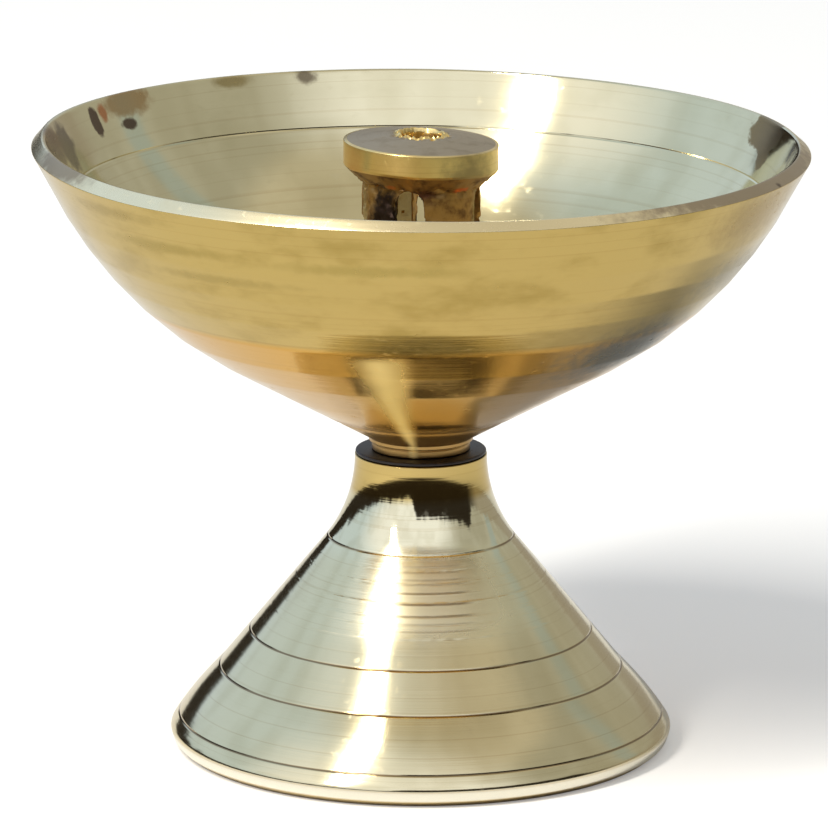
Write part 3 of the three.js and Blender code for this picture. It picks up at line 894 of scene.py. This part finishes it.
rim_height = bowl_top - LIP_RISE
boss_top = bowl_low + BOSS_HEIGHT
floor_height = bowl_low + FLOOR_HEIGHT
oil_line = bowl_top - OIL_LINE_DROP
wall = (rim_radius, rim_height, WALL_DEGREES)
under = (BOSS_RADIUS, boss_top, BOWL_CONE_DEGREES)
inner_wall = (rim_radius - BOWL_WALL / math.cos(math.radians(WALL_DEGREES)), rim_height, WALL_DEGREES)
inner_under = (BOSS_RADIUS - BOWL_WALL / math.cos(math.radians(BOWL_CONE_DEGREES)), boss_top,
               BOWL_CONE_DEGREES)
floor_radius = on_run(*inner_under, floor_height)
outside = meeting(*under, *wall)
inside = meeting(*inner_under, *inner_wall)


def bowl_side():
    """The outside from the boss up to the rim: a turned ring, then bands that lean unevenly."""
    curve = rounded_outline([(BOSS_RADIUS, boss_top, 0), (*outside, BOWL_CURVE),
                             (rim_radius, rim_height, 0)], False)
    heights = [place.y for place in curve]
    radii = [place.x for place in curve]

    def sunk(height, depth):
        """The place on the plain outside at a height, so much further in."""
        return Vector((np.interp(height, heights, radii) - depth, height))

    ring = [sunk(bowl_low + RING_HEIGHT + rise, depth)
            for rise, depth in ((-RING_HALF, 0.0), (0.0, RING_DEPTH), (RING_HALF, 0.0))]
    edges = [rim_height - BAND_PITCH * step for step in range(BANDS, 0, -1)]
    bands = [sunk(z, BAND_STEP * (0.5 + 0.5 * noise.noise((z, BAND_SEED, 0)))) for z in edges]
    print("bowl bands end at heights", [round(place.y, 1) for place in bands])
    run = tooled(subdivided([*ring, *bands, Vector((rim_radius, rim_height))], BAND_PIECE, False),
                 BOWL_WAVES)
    return [(place.x, place.y, 0) for place in run if place.y < rim_height - RIM_CLEAR]


def bowl_inside():
    """The inside from the lip's edge down to the floor, with the oil line cut into it."""
    edge_height = bowl_top - LIP_EDGE_DROP
    side = rounded_outline([(on_run(*inner_wall, edge_height), edge_height, 0),
                            (*inside, BOWL_CURVE - BOWL_WALL), (floor_radius, floor_height, 0)], False)
    run = tooled(subdivided(side, INNER_PIECE, False), INNER_WAVES)[1:-1]
    return reversed(grooved(run, [(oil_line, SCRIBE_HALF, -SCRIBE_DEPTH)]))


print("the bowl is", round(oil_line - floor_height, 1), "mm deep to its oil line")

# %% Bowl
BOSS_GROOVE = 0.85
BOSS_GROOVE_DEPTH = 0.4
BOSS_FOOT_INSET = 0.3
LIP_INSET = 1.1

bowl = turned("bowl_turned", [
    (HOLE_RADIUS, bowl_low, 0.1),
    (BOSS_RADIUS - BOSS_FOOT_INSET, bowl_low, 0.15),
    (BOSS_RADIUS - BOSS_FOOT_INSET, bowl_low + BOSS_GROOVE - SCRIBE_HALF, 0.1),
    (BOSS_RADIUS - BOSS_GROOVE_DEPTH, bowl_low + BOSS_GROOVE, 0.1),
    (BOSS_RADIUS, bowl_low + BOSS_GROOVE + SCRIBE_HALF, 0.1),
    (BOSS_RADIUS, boss_top, 0.2),
    *bowl_side(),
    (rim_radius, rim_height, 0.12),
    (rim_radius - LIP_INSET, bowl_top, 0.4),
    (on_run(*inner_wall, bowl_top - LIP_EDGE_DROP), bowl_top - LIP_EDGE_DROP, 0.2),
    *bowl_inside(),
    (floor_radius, floor_height, 3.0),
    (HOLE_RADIUS, floor_height, 0.1),
], longest=0.6)

# %% [markdown]
# Which brass a face of the bowl has follows from the way it faces and how high it is, so the
# faces are sorted while the bowl is still true.

# %% Faces of the bowl
OUTSIDE, INSIDE, LIP = range(3)
LEAST_UPWARD = 0.1

kinds = []
for face in bowl.data.polygons:
    outward = Vector((face.center.x, face.center.y, 0)).normalized()
    facing_in = face.normal.dot(outward) < 0 and face.normal.z > LEAST_UPWARD
    on_lip = face.center.z > rim_height * MM and not facing_in
    kinds.append(LIP if on_lip else INSIDE if facing_in else OUTSIDE)
print("faces outside, inside and on the lip:", [kinds.count(kind) for kind in (OUTSIDE, INSIDE, LIP)])

# %% [markdown]
# No hand-made rim runs quite true. This one stands high on the left and low on the right, and its
# bevel is filed unevenly. The tables give how far its top and its outer edge lie above true, by
# the turn from the front. The whole bowl follows, less and less towards its boss, which stays
# true. All points are moved in one step, since that is far quicker than one by one.

# %% Rim that is not true
RIM_STILL = 12.0
TOP_TURNS = (0, 12, 25, 45, 70, 90, 115, 150, 172, 192, 215, 240, 257, 272, 290, 313, 340)
TOP_RISES = (-0.30, -0.45, -0.55, -0.60, -0.55, -0.42, -0.36, -0.28, 0.0, 0.15, 0.45, 0.70, 0.92,
             0.92, 0.50, 0.05, -0.08)
EDGE_TURNS = (0, 25, 60, 90, 150, 180, 215, 245, 270, 290, 313, 340)
EDGE_RISES = (0.10, -0.05, -0.10, -0.05, -0.20, 0.10, 0.40, 0.70, 0.92, 0.55, 0.20, 0.15)
SMOOTHED_DEGREES = 9


def rise_at(turns, given_turns, rises):
    """Heights at many turns, run smoothly through a few given ones."""
    table = np.interp(np.arange(360), given_turns, rises, period=360)
    rolled = [np.roll(table, turn) for turn in range(-SMOOTHED_DEGREES, SMOOTHED_DEGREES + 1)]
    return np.interp(turns, np.arange(360), sum(rolled) / len(rolled), period=360)


places = np.array([vertex.co for vertex in bowl.data.vertices]) / MM
normals = np.array([vertex.normal for vertex in bowl.data.vertices])
turns = np.degrees(np.arctan2(places[:, 0], -places[:, 1]))
on_bevel = np.clip((places[:, 2] - rim_height) / LIP_RISE, 0, 1)
on_bevel[(normals[:, :2] * places[:, :2]).sum(axis=1) < 0] = 1.0
shares = (np.hypot(places[:, 0], places[:, 1]) - RIM_STILL) / (rim_radius - RIM_STILL)
top_rises = rise_at(turns, TOP_TURNS, TOP_RISES)
edge_rises = rise_at(turns, EDGE_TURNS, EDGE_RISES)
places[:, 2] += (edge_rises + (top_rises - edge_rises) * on_bevel) * np.clip(shares, 0, None) ** 2
bowl.data.vertices.foreach_set("co", (places * MM).ravel())
finish_piece(bowl, "oil_bowl", "bowl", golden_brass)
bowl.data.materials.append(inner_brass)
bowl.data.materials.append(lip_brass)
for face, kind in zip(bowl.data.polygons, kinds):
    face.material_index = kind
print("the lip's top lies between", round(min(top_rises), 2), "and", round(max(top_rises), 2), "mm off true")

# %% [markdown]
# ## Washer and sealing ring
# A black rubber washer sits between the bowl's boss and the neck, and a fibre ring under the
# wick holder keeps oil out of the thread. Both are simple rings with soft edges, and so is the
# plain washer above the nut.

# %% Rings
RING_STEPS = 128


def ring(name, low, top, inner, outer, edge):
    """A flat ring with rounded edges."""
    return turned(name, [(inner, low, edge), (outer, low, edge), (outer, top, edge), (inner, top, edge)],
                  steps=RING_STEPS)


finish_piece(ring("neck_washer_rubber", washer_low, washer_top, HOLE_RADIUS, washer_radius, 0.25),
             "neck_ring", "neck_washer", rubber)
finish_piece(ring("holder_seal_fibre", seal_low, seal_top, HOLE_RADIUS, seal_radius, 0.1),
             "seal_ring", "holder_seal", fibre)
finish_piece(ring("plain_washer_plate", plate_low, plate_top, HOLE_RADIUS, plate_radius, 0.15),
             "washer", "plain_washer", steel)

# %% [markdown]
# ## The wick holder
# The wick holder is one rough casting whose cap and hole were turned afterwards. The body is
# turned first, with finer steps than the other pieces, since its skin is roughened later.

# %% Wick holder, turned
HOLDER_STEPS = 160
HOLDER_PIECE = 0.3
HOLDER_GAP = 0.05
FOOT_RADIUS = 6.9
FOOT_HEIGHT = 1.8
CAGE_RADIUS = 6.1
CAGE_WALL = 1.9
CAGE_HEIGHT = 20.8
CAP_BAND = 2.5
CHAMFER_IN = 1.5
CHAMFER_DROP = 1.6
CAP_RISE = 1.1
WICK_HOLE = 2.15
WICK_HOLE_DEPTH = 2.6
WICK_LIP = 0.2
WICK_LIP_DEPTH = 0.5

foot_low = seal_top + HOLDER_GAP
foot_top = foot_low + FOOT_HEIGHT
cap_low = foot_top + CAGE_HEIGHT
band_low = cap_low + CHAMFER_DROP
band_top = band_low + CAP_BAND
hole_top = band_top + CAP_RISE
chamber = CAGE_RADIUS - CAGE_WALL
holder = turned("wick_holder_cast", [
    (0, holder_low, 0),
    (thread_radius, holder_low, 0.3),
    (thread_radius, foot_low, 0.1),
    (FOOT_RADIUS, foot_low, 0.2),
    (FOOT_RADIUS, foot_top, 0.4),
    (CAGE_RADIUS, foot_top, 0.3),
    (CAGE_RADIUS, cap_low, 0.2),
    (cap_radius - CHAMFER_IN, cap_low, 0.15),
    (cap_radius, band_low, 0.12),
    (cap_radius, band_top, 0.1),
    (WICK_HOLE + 2 * WICK_LIP, hole_top - WICK_LIP, 0.1),
    (WICK_HOLE + WICK_LIP, hole_top, 0.1),
    (WICK_HOLE, hole_top - WICK_LIP_DEPTH, 0.3),
    (WICK_HOLE, hole_top - WICK_HOLE_DEPTH, 0.1),
    (chamber, cap_low + WICK_LIP, 0.2),
    (chamber, foot_top, 0.3),
    (0, foot_top, 0),
], closed=False, steps=HOLDER_STEPS, longest=HOLDER_PIECE)

# %% [markdown]
# Four arched windows let oil reach the wick. Each is cut by a block with the outline of the arch,
# through a boolean modifier that is then applied. The block is sliced finely along its depth, so
# that the walls of the window have enough points for the casting's skin.

# %% Windows
WINDOWS = 4
WINDOW_TURN = -12.0
WINDOW_TOP_HALF = 1.5
WINDOW_FOOT_HALF = 2.25
WINDOW_CLEAR = 0.1
ARCH_POINTS = 17
ARCH_PIECE = 0.4
CUT_FROM, CUT_TO, CUT_SLICES = 2.0, 9.0, 19


def window_cutter(turn):
    """An arch-shaped block that reaches from inside the cage to outside it."""
    foot = foot_top + WINDOW_CLEAR / 2
    spring = cap_low - WINDOW_CLEAR - WINDOW_TOP_HALF
    outline = [Vector((-WINDOW_FOOT_HALF, foot)), Vector((WINDOW_FOOT_HALF, foot))]
    outline += [Vector((WINDOW_TOP_HALF * math.cos(angle), spring + WINDOW_TOP_HALF * math.sin(angle)))
                for angle in np.linspace(0, math.pi, ARCH_POINTS)]
    outline = subdivided(outline, ARCH_PIECE, True)
    build = bmesh.new()
    slices = [[build.verts.new((x * MM, -depth * MM, z * MM)) for x, z in outline]
              for depth in np.linspace(CUT_FROM, CUT_TO, CUT_SLICES)]
    build.faces.new(slices[0])
    build.faces.new(slices[-1])
    for near, far in zip(slices, slices[1:]):
        skin(build, near, far)
    bmesh.ops.recalc_face_normals(build, faces=build.faces)
    mesh = bpy.data.meshes.new("arch")
    build.to_mesh(mesh)
    build.free()
    mesh.transform(Matrix.Rotation(math.radians(turn), 4, "Z"))
    return linked("arch", mesh)


def cut(piece, cutter):
    """Cuts one mesh by another and applies the result."""
    modifier = piece.modifiers.new("cut", "BOOLEAN")
    modifier.operation = "DIFFERENCE"
    modifier.solver = "EXACT"
    modifier.object = cutter
    bpy.context.view_layer.update()
    shaped = bpy.data.meshes.new_from_object(piece.evaluated_get(bpy.context.evaluated_depsgraph_get()))
    piece.modifiers.clear()
    piece.data = shaped
    bpy.data.objects.remove(cutter)


for index in range(WINDOWS):
    cut(holder, window_cutter(WINDOW_TURN + 360 * index / WINDOWS))
print("with", WINDOWS, "windows the wick holder has", len(holder.data.vertices), "points")

# %% [markdown]
# Sand casting leaves a skin of lumps and pits. Every point of the legs is pushed in along its
# normal by a noise, and nowhere out, so the casting stays inside its solid. The leg at the front
# right was filed, so its skin is smoother. The helpers say how much of each effect a place gets.

# %% Casting skin
SKIN_DEPTH = 0.34
SKIN_SIZE = 0.9
LUMP_SHARE, PIT_SHARE, PIT_SCALE = 0.65, 0.35, 3.1
NOISE_TO_ONE = 2.0
LEG_FOOT = (0.2, 1.0)
LEG_HEAD = 0.3
FILED_FROM, FILED_FULL, FILED_SHARE = 5.0, 8.0, 0.75
BURR_DEPTH = 0.3
BURR_REACH = (3.6, 2.9)
BURR_DROP = (1.2, 0.5)
BURR_SCALE, BURR_SEED = 1.3, 4.0


def skin_depth(place):
    """How deep the casting's skin is sunk at a place."""
    legs = soft_step(place.z, foot_top + LEG_FOOT[0], foot_top + LEG_FOOT[1])
    legs *= soft_step(place.z, band_low - LEG_HEAD, cap_low)
    filed = soft_step(place.x - place.y, FILED_FROM, FILED_FULL) * soft_step(place.z, cap_low, cap_low - 1.0)
    lumps = LUMP_SHARE * abs(noise.noise(place / SKIN_SIZE))
    pits = PIT_SHARE * abs(noise.noise(place * PIT_SCALE / SKIN_SIZE))
    return SKIN_DEPTH * NOISE_TO_ONE * (lumps + pits) * legs * (1 - FILED_SHARE * filed)


def burr_drop(place):
    """How far the edge of the wick hole is torn down at a place."""
    near_hole = soft_step(place.xy.length, *BURR_REACH)
    on_top = soft_step(place.z, hole_top - BURR_DROP[0], hole_top - BURR_DROP[1])
    torn = abs(noise.noise(Vector((place.x * BURR_SCALE, place.y * BURR_SCALE, BURR_SEED))))
    return near_hole * on_top * BURR_DEPTH * NOISE_TO_ONE * torn


print("the casting's skin is at most", SKIN_DEPTH, "mm deep")

# %% [markdown]
# The cap was turned true afterwards, but not square to the legs, so it leans down to the right,
# and the lower edge of its band runs higher at the front than at the back.

# %% Rough and leaning wick holder
CAP_LEAN = 0.041
BAND_LIFT = 0.33
BAND_FRONT = (0.2, 0.9)
BAND_FADE = 1.6
LEAN_FROM = 4.0


def band_lift(place):
    """How much higher the lower edge of the cap's band runs at a place."""
    front = soft_step(-place.y / max(1.0, place.xy.length), *BAND_FRONT)
    edge = soft_step(place.z, cap_low, band_low) * soft_step(place.z, band_low + BAND_FADE, band_low)
    return BAND_LIFT * front * edge


normals = [vertex.normal.copy() for vertex in holder.data.vertices]
for vertex, normal in zip(holder.data.vertices, normals):
    place = vertex.co / MM
    lean = soft_step(place.z, foot_top + LEAN_FROM, cap_low) * CAP_LEAN * (place.x + WICK_HOLE)
    sunk = place - normal * skin_depth(place)
    sunk.z += band_lift(place) - burr_drop(place) - lean
    vertex.co = sunk * MM
holder.data.shade_smooth()
holder.data.set_sharp_from_angle(angle=math.radians(SHARP_DEGREES))
finish_piece(holder, "holder", "wick_holder", cast_brass)

# %% [markdown]
# The faces get their brass by where they are: the band of the cap and the rim of the hole are
# bright, the top face is dull, and the inner face of one rear leg is painted a pale cream, painted
# light.

# %% Faces of the wick holder
CAST, CAP, FACE, LEG_LIGHT = range(4)
BAND_INSET = 0.3
HOLE_RIM = 0.7
HOLE_DEPTH = 3.0
LEG_LIGHT_FROM, LEG_LIGHT_REACH = 1.05, 0.3
BAND_MARGIN, FACE_MARGIN = 0.1, 0.2

for finish in (cap_brass, face_brass, leg_light_paint):
    holder.data.materials.append(finish)
for face in holder.data.polygons:
    middle = face.center / MM
    radius = middle.xy.length
    height = middle.z + CAP_LEAN * (middle.x + WICK_HOLE)
    on_band = radius > cap_radius - BAND_INSET and height > band_low - BAND_MARGIN
    on_face = height > band_top - FACE_MARGIN and not on_band and radius > WICK_HOLE + HOLE_RIM
    at_hole = height > hole_top - HOLE_DEPTH and radius <= WICK_HOLE + HOLE_RIM
    # Faces on the inner side of the rear left leg get the painted light.
    leg_lit = radius < chamber + LEG_LIGHT_REACH and height < cap_low and middle.y > 0 and middle.x < -LEG_LIGHT_FROM
    face.material_index = CAP if on_band or at_hole else FACE if on_face else LEG_LIGHT if leg_lit else CAST
print("wick holder has", len(holder.data.polygons), "faces")

# %% [markdown]
# ## Stud and nut
# Under the pedestal a stud and a hexagon nut hold everything. A screw thread is one ridge that
# winds up a rod, so the mesh is a grid whose rows rise by one pitch in each turn.

# %% Threaded stud
PITCH = 0.8
THREAD_DEPTH = 0.45
THREAD_STEPS = 32
THREAD_SHARP = 50
ROWS_PER_TURN = 10
CREST, FLANK = 0.1, 0.85
STUD_END = 0.35


def thread_shape(share):
    """Depth share of a thread across one pitch: a vee with a small flat at its crest."""
    return min(1.0, max(0.0, (abs(share - 0.5) * 2 - CREST) / FLANK))


def threaded_rod(name, low, top, radius, end_round):
    """A rod with a right-handed thread, its ends tapered."""
    rows = round((top - low) / PITCH * ROWS_PER_TURN)
    build = bmesh.new()
    grid = []
    for row in range(rows + 1):
        z = low + (top - low) * row / rows
        taper = max(0.0, end_round - min(z - low, top - z))
        shares = [(z / PITCH - step / THREAD_STEPS) % 1.0 for step in range(THREAD_STEPS)]
        radii = [min(radius - THREAD_DEPTH * (1 - thread_shape(share)), radius - taper) for share in shares]
        grid.append(ring_points(build, radii, z))
    for lower, upper in zip(grid, grid[1:]):
        skin(build, lower, upper)
    build.faces.new(list(reversed(grid[0])))
    build.faces.new(grid[-1])
    return built(build, name, THREAD_SHARP)


stud = threaded_rod("threaded_stud_rod", stud_low, stud_top, thread_radius, STUD_END)
finish_piece(stud, "base", "threaded_stud", stud_brass)

# %% [markdown]
# A nut is a hexagon whose corners are cut back by a cone at both ends. Each ring of points takes
# the smaller of the two radii, the flat side's and the cone's.

# %% Lock nut
NUT_CHAMFER = 0.5
NUT_STEPS = 72
NUT_SHARP = 25
NUT_SHARES = (0.0, 0.12, 0.25, 0.5, 0.75, 0.88, 1.0)
CHAMFER_DEGREES = 30
SIXTH = math.pi / 3


def hexagon_nut(name, low, top, flats, hole):
    """A hexagon nut: a many-sided prism whose ends are cut by a cone, with a hole."""
    face = flats / math.cos(SIXTH / 2) - 2 * NUT_CHAMFER
    turns = [2 * math.pi * step / NUT_STEPS for step in range(NUT_STEPS)]
    sides = [flats / math.cos((turn + SIXTH / 2) % SIXTH - SIXTH / 2) for turn in turns]
    build = bmesh.new()
    grid = []
    for share in NUT_SHARES:
        z = low + (top - low) * share
        cone_radius = face + min(z - low, top - z) / math.tan(math.radians(CHAMFER_DEGREES))
        grid.append(ring_points(build, [min(side, cone_radius) for side in sides], z))
    for z in (top, low):
        grid.append(ring_points(build, [hole] * NUT_STEPS, z))
    for lower, upper in zip(grid, grid[1:] + grid[:1]):
        skin(build, lower, upper)
    bmesh.ops.recalc_face_normals(build, faces=build.faces)
    return built(build, name, NUT_SHARP)


nut = hexagon_nut("lock_nut_hex", nut_low, nut_top, nut_half_flats, HOLE_RADIUS)
finish_piece(nut, "nut", "lock_nut", steel)

# %% [markdown]
# ## Camera, floor and light
# The camera stands where the photograph was taken from: a little above the rim and far off, so
# that the circles look nearly flat. Its lens is given in pixels, as it was measured, and turned
# into the millimetres that Blender wants.

# %% Camera
CAMERA_DISTANCE = 0.720
CAMERA_HEIGHT = 0.20825
FOCAL_PIXELS = 7155.6
FRAME_PIXELS = 828
SENSOR_WIDTH = 36.0
AIM_HEIGHT = 0.03481
AIM_SIDE = -0.00072
ROLL = 0.001
NEAREST = 0.01

camera_data = bpy.data.cameras.new("camera")
camera_data.sensor_width = SENSOR_WIDTH
camera_data.lens = FOCAL_PIXELS * SENSOR_WIDTH / FRAME_PIXELS
camera_data.clip_start = NEAREST
camera = linked("camera", camera_data)
camera.location = (0, -CAMERA_DISTANCE, CAMERA_HEIGHT)
look = Vector((AIM_SIDE, 0, AIM_HEIGHT)) - camera.location
aimed = look.to_track_quat("-Z", "Y").to_matrix()
camera.rotation_euler = (aimed @ Matrix.Rotation(ROLL, 3, "Z")).to_euler()
bpy.context.scene.camera = camera
print("the lens is", round(camera_data.lens, 1), "mm long")

# %% [markdown]
# The floor is a pale sheet that ends a little in front of the lamp, so the brass mirrors the dark
# of the room there. The camera sees it a little lighter than it is, which brings it near white
# and keeps the lamp's shadow.

# %% Floor
HALF_FLOOR = 1.2
FLOOR_FRONT = 0.30
FLOOR_COLOUR = (0.87, 0.855, 0.82)
FLOOR_ROUGHNESS = 0.9
FLOOR_LIFT = 0.26
FLOOR_DROP = 0.0001

floor_mesh = bpy.data.meshes.new("floor")
floor_mesh.from_pydata([(-HALF_FLOOR, -FLOOR_FRONT, 0), (HALF_FLOOR, -FLOOR_FRONT, 0),
                        (HALF_FLOOR, HALF_FLOOR, 0), (-HALF_FLOOR, HALF_FLOOR, 0)], [], [(0, 1, 2, 3)])
floor = linked("floor", floor_mesh)
floor.location.z = -FLOOR_DROP
floor_paint = bpy.data.materials.new("floor_paint")
floor_paint.use_nodes = True
floor_tree = floor_paint.node_tree
floor_shader = floor_tree.nodes["Principled BSDF"]
floor_shader.inputs["Base Color"].default_value = (*FLOOR_COLOUR, 1)
floor_shader.inputs["Roughness"].default_value = FLOOR_ROUGHNESS
floor_shader.inputs["Emission Color"].default_value = (1, 1, 1, 1)
floor_seen = node(floor_tree, "ShaderNodeLightPath")
floor_tree.links.new(times(floor_tree, floor_seen.outputs["Is Camera Ray"], FLOOR_LIFT),
                     floor_shader.inputs["Emission Strength"])
floor_mesh.materials.append(floor_paint)
print("the floor reaches", FLOOR_FRONT, "m to the front")

# %% [markdown]
# Metal needs something to mirror, so the lamp stands in a light tent. Its walls are pale, cooler
# on the left than on the right and greyer overhead, with a narrow bluish slot on the right and
# faint creases all over. A broad panel glows at the front. The colour follows the direction in
# which a ray leaves, here as an azimuth, which is 0 at the camera and grows to the right, and an
# elevation.

# %% Directions in the world
world = bpy.data.worlds.new("studio")
bpy.context.scene.world = world
world.use_nodes = True
sky = world.node_tree
towards = node(sky, "ShaderNodeTexCoord").outputs["Generated"]
ways = node(sky, "ShaderNodeSeparateXYZ")
sky.links.new(towards, ways.inputs[0])
elevation = maths(sky, "DEGREES", maths(sky, "ARCSINE", ways.outputs["Z"]))
azimuth = maths(sky, "DEGREES", maths(sky, "ARCTAN2", ways.outputs["X"], times(sky, ways.outputs["Y"], -1.0)))


def ray_noise(scale, detail):
    """A noise over the directions of the world."""
    made = node(sky, "ShaderNodeTexNoise", sockets={"Scale": scale, "Detail": detail})
    sky.links.new(towards, made.inputs["Vector"])
    return made.outputs["Fac"]


def squared_share(value, middle, half):
    """Square of how far a direction is off a middle, as a share of half a width."""
    share = maths(sky, "DIVIDE", maths(sky, "SUBTRACT", value, middle), half)
    return maths(sky, "POWER", maths(sky, "ABSOLUTE", share), 2.0)


print("the world knows azimuth and elevation")

# %% Tent
TENT_RIGHT = (0.52, 0.54, 0.53)
TENT_RIGHT_HIGH = (0.70, 0.68, 0.62)
HIGH_FROM, HIGH_FULL = 44.0, 54.0
TENT_SLOT = (0.44, 0.53, 0.60)
SLOT_AZIMUTH, SLOT_HALF_WIDTH = 114.0, 6.0
TENT_LEFT = (0.68, 0.86, 1.14)
LEFT_FROM, LEFT_FULL = 0.30, -0.45
TENT_TOP = (0.60, 0.58, 0.51)
TOP_FROM, TOP_FULL = 50.0, 72.0
TENT_PANEL = (1.16, 1.25, 1.48)
PANEL_AZIMUTH, PANEL_ELEVATION = -18.0, 33.0
PANEL_HALF_WIDTH, PANEL_HALF_HEIGHT = 78.0, 33.0
PANEL_FROM, PANEL_FULL = 1.15, 0.55
TENT_CREASE = (0.90, 0.89, 0.86)
CREASE_FROM, CREASE_FULL = 0.46, 0.62

right_wall = blend(sky, smooth(sky, elevation, HIGH_FROM, HIGH_FULL), TENT_RIGHT, TENT_RIGHT_HIGH)
in_slot = smooth(sky, apart(sky, azimuth, SLOT_AZIMUTH), SLOT_HALF_WIDTH, SLOT_HALF_WIDTH / 2)
right_wall = blend(sky, in_slot, right_wall, TENT_SLOT)
walls = blend(sky, smooth(sky, ways.outputs["X"], LEFT_FROM, LEFT_FULL), right_wall, TENT_LEFT)
roofed = blend(sky, smooth(sky, elevation, TOP_FROM, TOP_FULL), walls, TENT_TOP)
off_panel = maths(sky, "SQRT", plus(sky, squared_share(azimuth, PANEL_AZIMUTH, PANEL_HALF_WIDTH),
                                    squared_share(elevation, PANEL_ELEVATION, PANEL_HALF_HEIGHT)))
panelled = blend(sky, smooth(sky, off_panel, PANEL_FROM, PANEL_FULL), roofed, TENT_PANEL)
creased = node(sky, "ShaderNodeMix", data_type="RGBA", blend_type="MULTIPLY")
creased.inputs["B"].default_value = (*TENT_CREASE, 1)
sky.links.new(smooth(sky, ray_noise(5.0, 2.0), CREASE_FROM, CREASE_FULL), creased.inputs["Factor"])
sky.links.new(panelled, creased.inputs["A"])
print("tent walls, panel and creases made")

# %% [markdown]
# Near the ground runs a dark skirt with a frayed edge, taller at the front on the right, where the
# opening is, and paler at the back on the right. The camera sees plain white instead. What a
# matt surface gets from the world is weaker than what metal mirrors, so the key lamp can model
# the shapes.

# %% Skirt and background
TENT_SKIRT = (0.03, 0.025, 0.02)
TENT_SKIRT_RIGHT = (0.40, 0.38, 0.34)
SKIRT_TOP = 11.0
SKIRT_FRAY = 12.0
SKIRT_EDGE = 1.5
SKIRT_FRONT = 36.0
SKIRT_FRONT_RISE = 15.0
FRONT_FROM, FRONT_FULL = 52.0, 42.0
PALE_FROM, PALE_FULL = 80.0, 105.0
SOFT_LIGHT = 0.6

frayed = times(sky, maths(sky, "SUBTRACT", ray_noise(9.0, 3.0), 0.5), SKIRT_FRAY)
at_front = smooth(sky, apart(sky, azimuth, SKIRT_FRONT), FRONT_FROM, FRONT_FULL)
skirt_top = plus(sky, plus(sky, SKIRT_TOP, frayed), times(sky, at_front, SKIRT_FRONT_RISE))
skirt = blend(sky, smooth(sky, azimuth, PALE_FROM, PALE_FULL), TENT_SKIRT, TENT_SKIRT_RIGHT)
under_edge = smooth(sky, maths(sky, "SUBTRACT", elevation, skirt_top), SKIRT_EDGE, -SKIRT_EDGE)
skirted = blend(sky, under_edge, creased.outputs["Result"], skirt)
rays = node(sky, "ShaderNodeLightPath").outputs
background = sky.nodes["Background"].inputs
sky.links.new(blend(sky, rays["Is Camera Ray"], skirted, (1, 1, 1)), background["Color"])
mirrored = maths(sky, "MAXIMUM", rays["Is Camera Ray"],
                 maths(sky, "MAXIMUM", rays["Is Glossy Ray"], rays["Is Transmission Ray"]))
sky.links.new(plus(sky, SOFT_LIGHT, times(sky, mirrored, 1.0 - SOFT_LIGHT)), background["Strength"])
print("the world has", len(sky.nodes), "nodes")

# %% [markdown]
# One soft lamp high on the left gives the long bright streaks. It is a tall narrow strip, since
# the width of a lamp is what sets the width of its streak on a turned piece.

# %% Key lamp
KEY_AZIMUTH, KEY_ELEVATION = math.radians(-43.0), math.radians(50.0)
KEY_DISTANCE = 1.6
KEY_SIZE = (0.18, 0.95)
KEY_POWER = 24.0
KEY_COLOUR = (1.0, 0.97, 0.91)

key_data = bpy.data.lights.new("key", "AREA")
key_data.shape = "RECTANGLE"
key_data.size, key_data.size_y = KEY_SIZE
key_data.energy = KEY_POWER
key_data.color = KEY_COLOUR
key = linked("key", key_data)
key_way = Vector((math.sin(KEY_AZIMUTH) * math.cos(KEY_ELEVATION),
                  -math.cos(KEY_AZIMUTH) * math.cos(KEY_ELEVATION), math.sin(KEY_ELEVATION)))
key.location = key_way * KEY_DISTANCE
key.rotation_euler = (-key_way).to_track_quat("-Z", "Y").to_euler()
bpy.context.scene.view_settings.view_transform = "Standard"
print("the key lamp is", KEY_SIZE[1], "m tall and gives", KEY_POWER, "W")
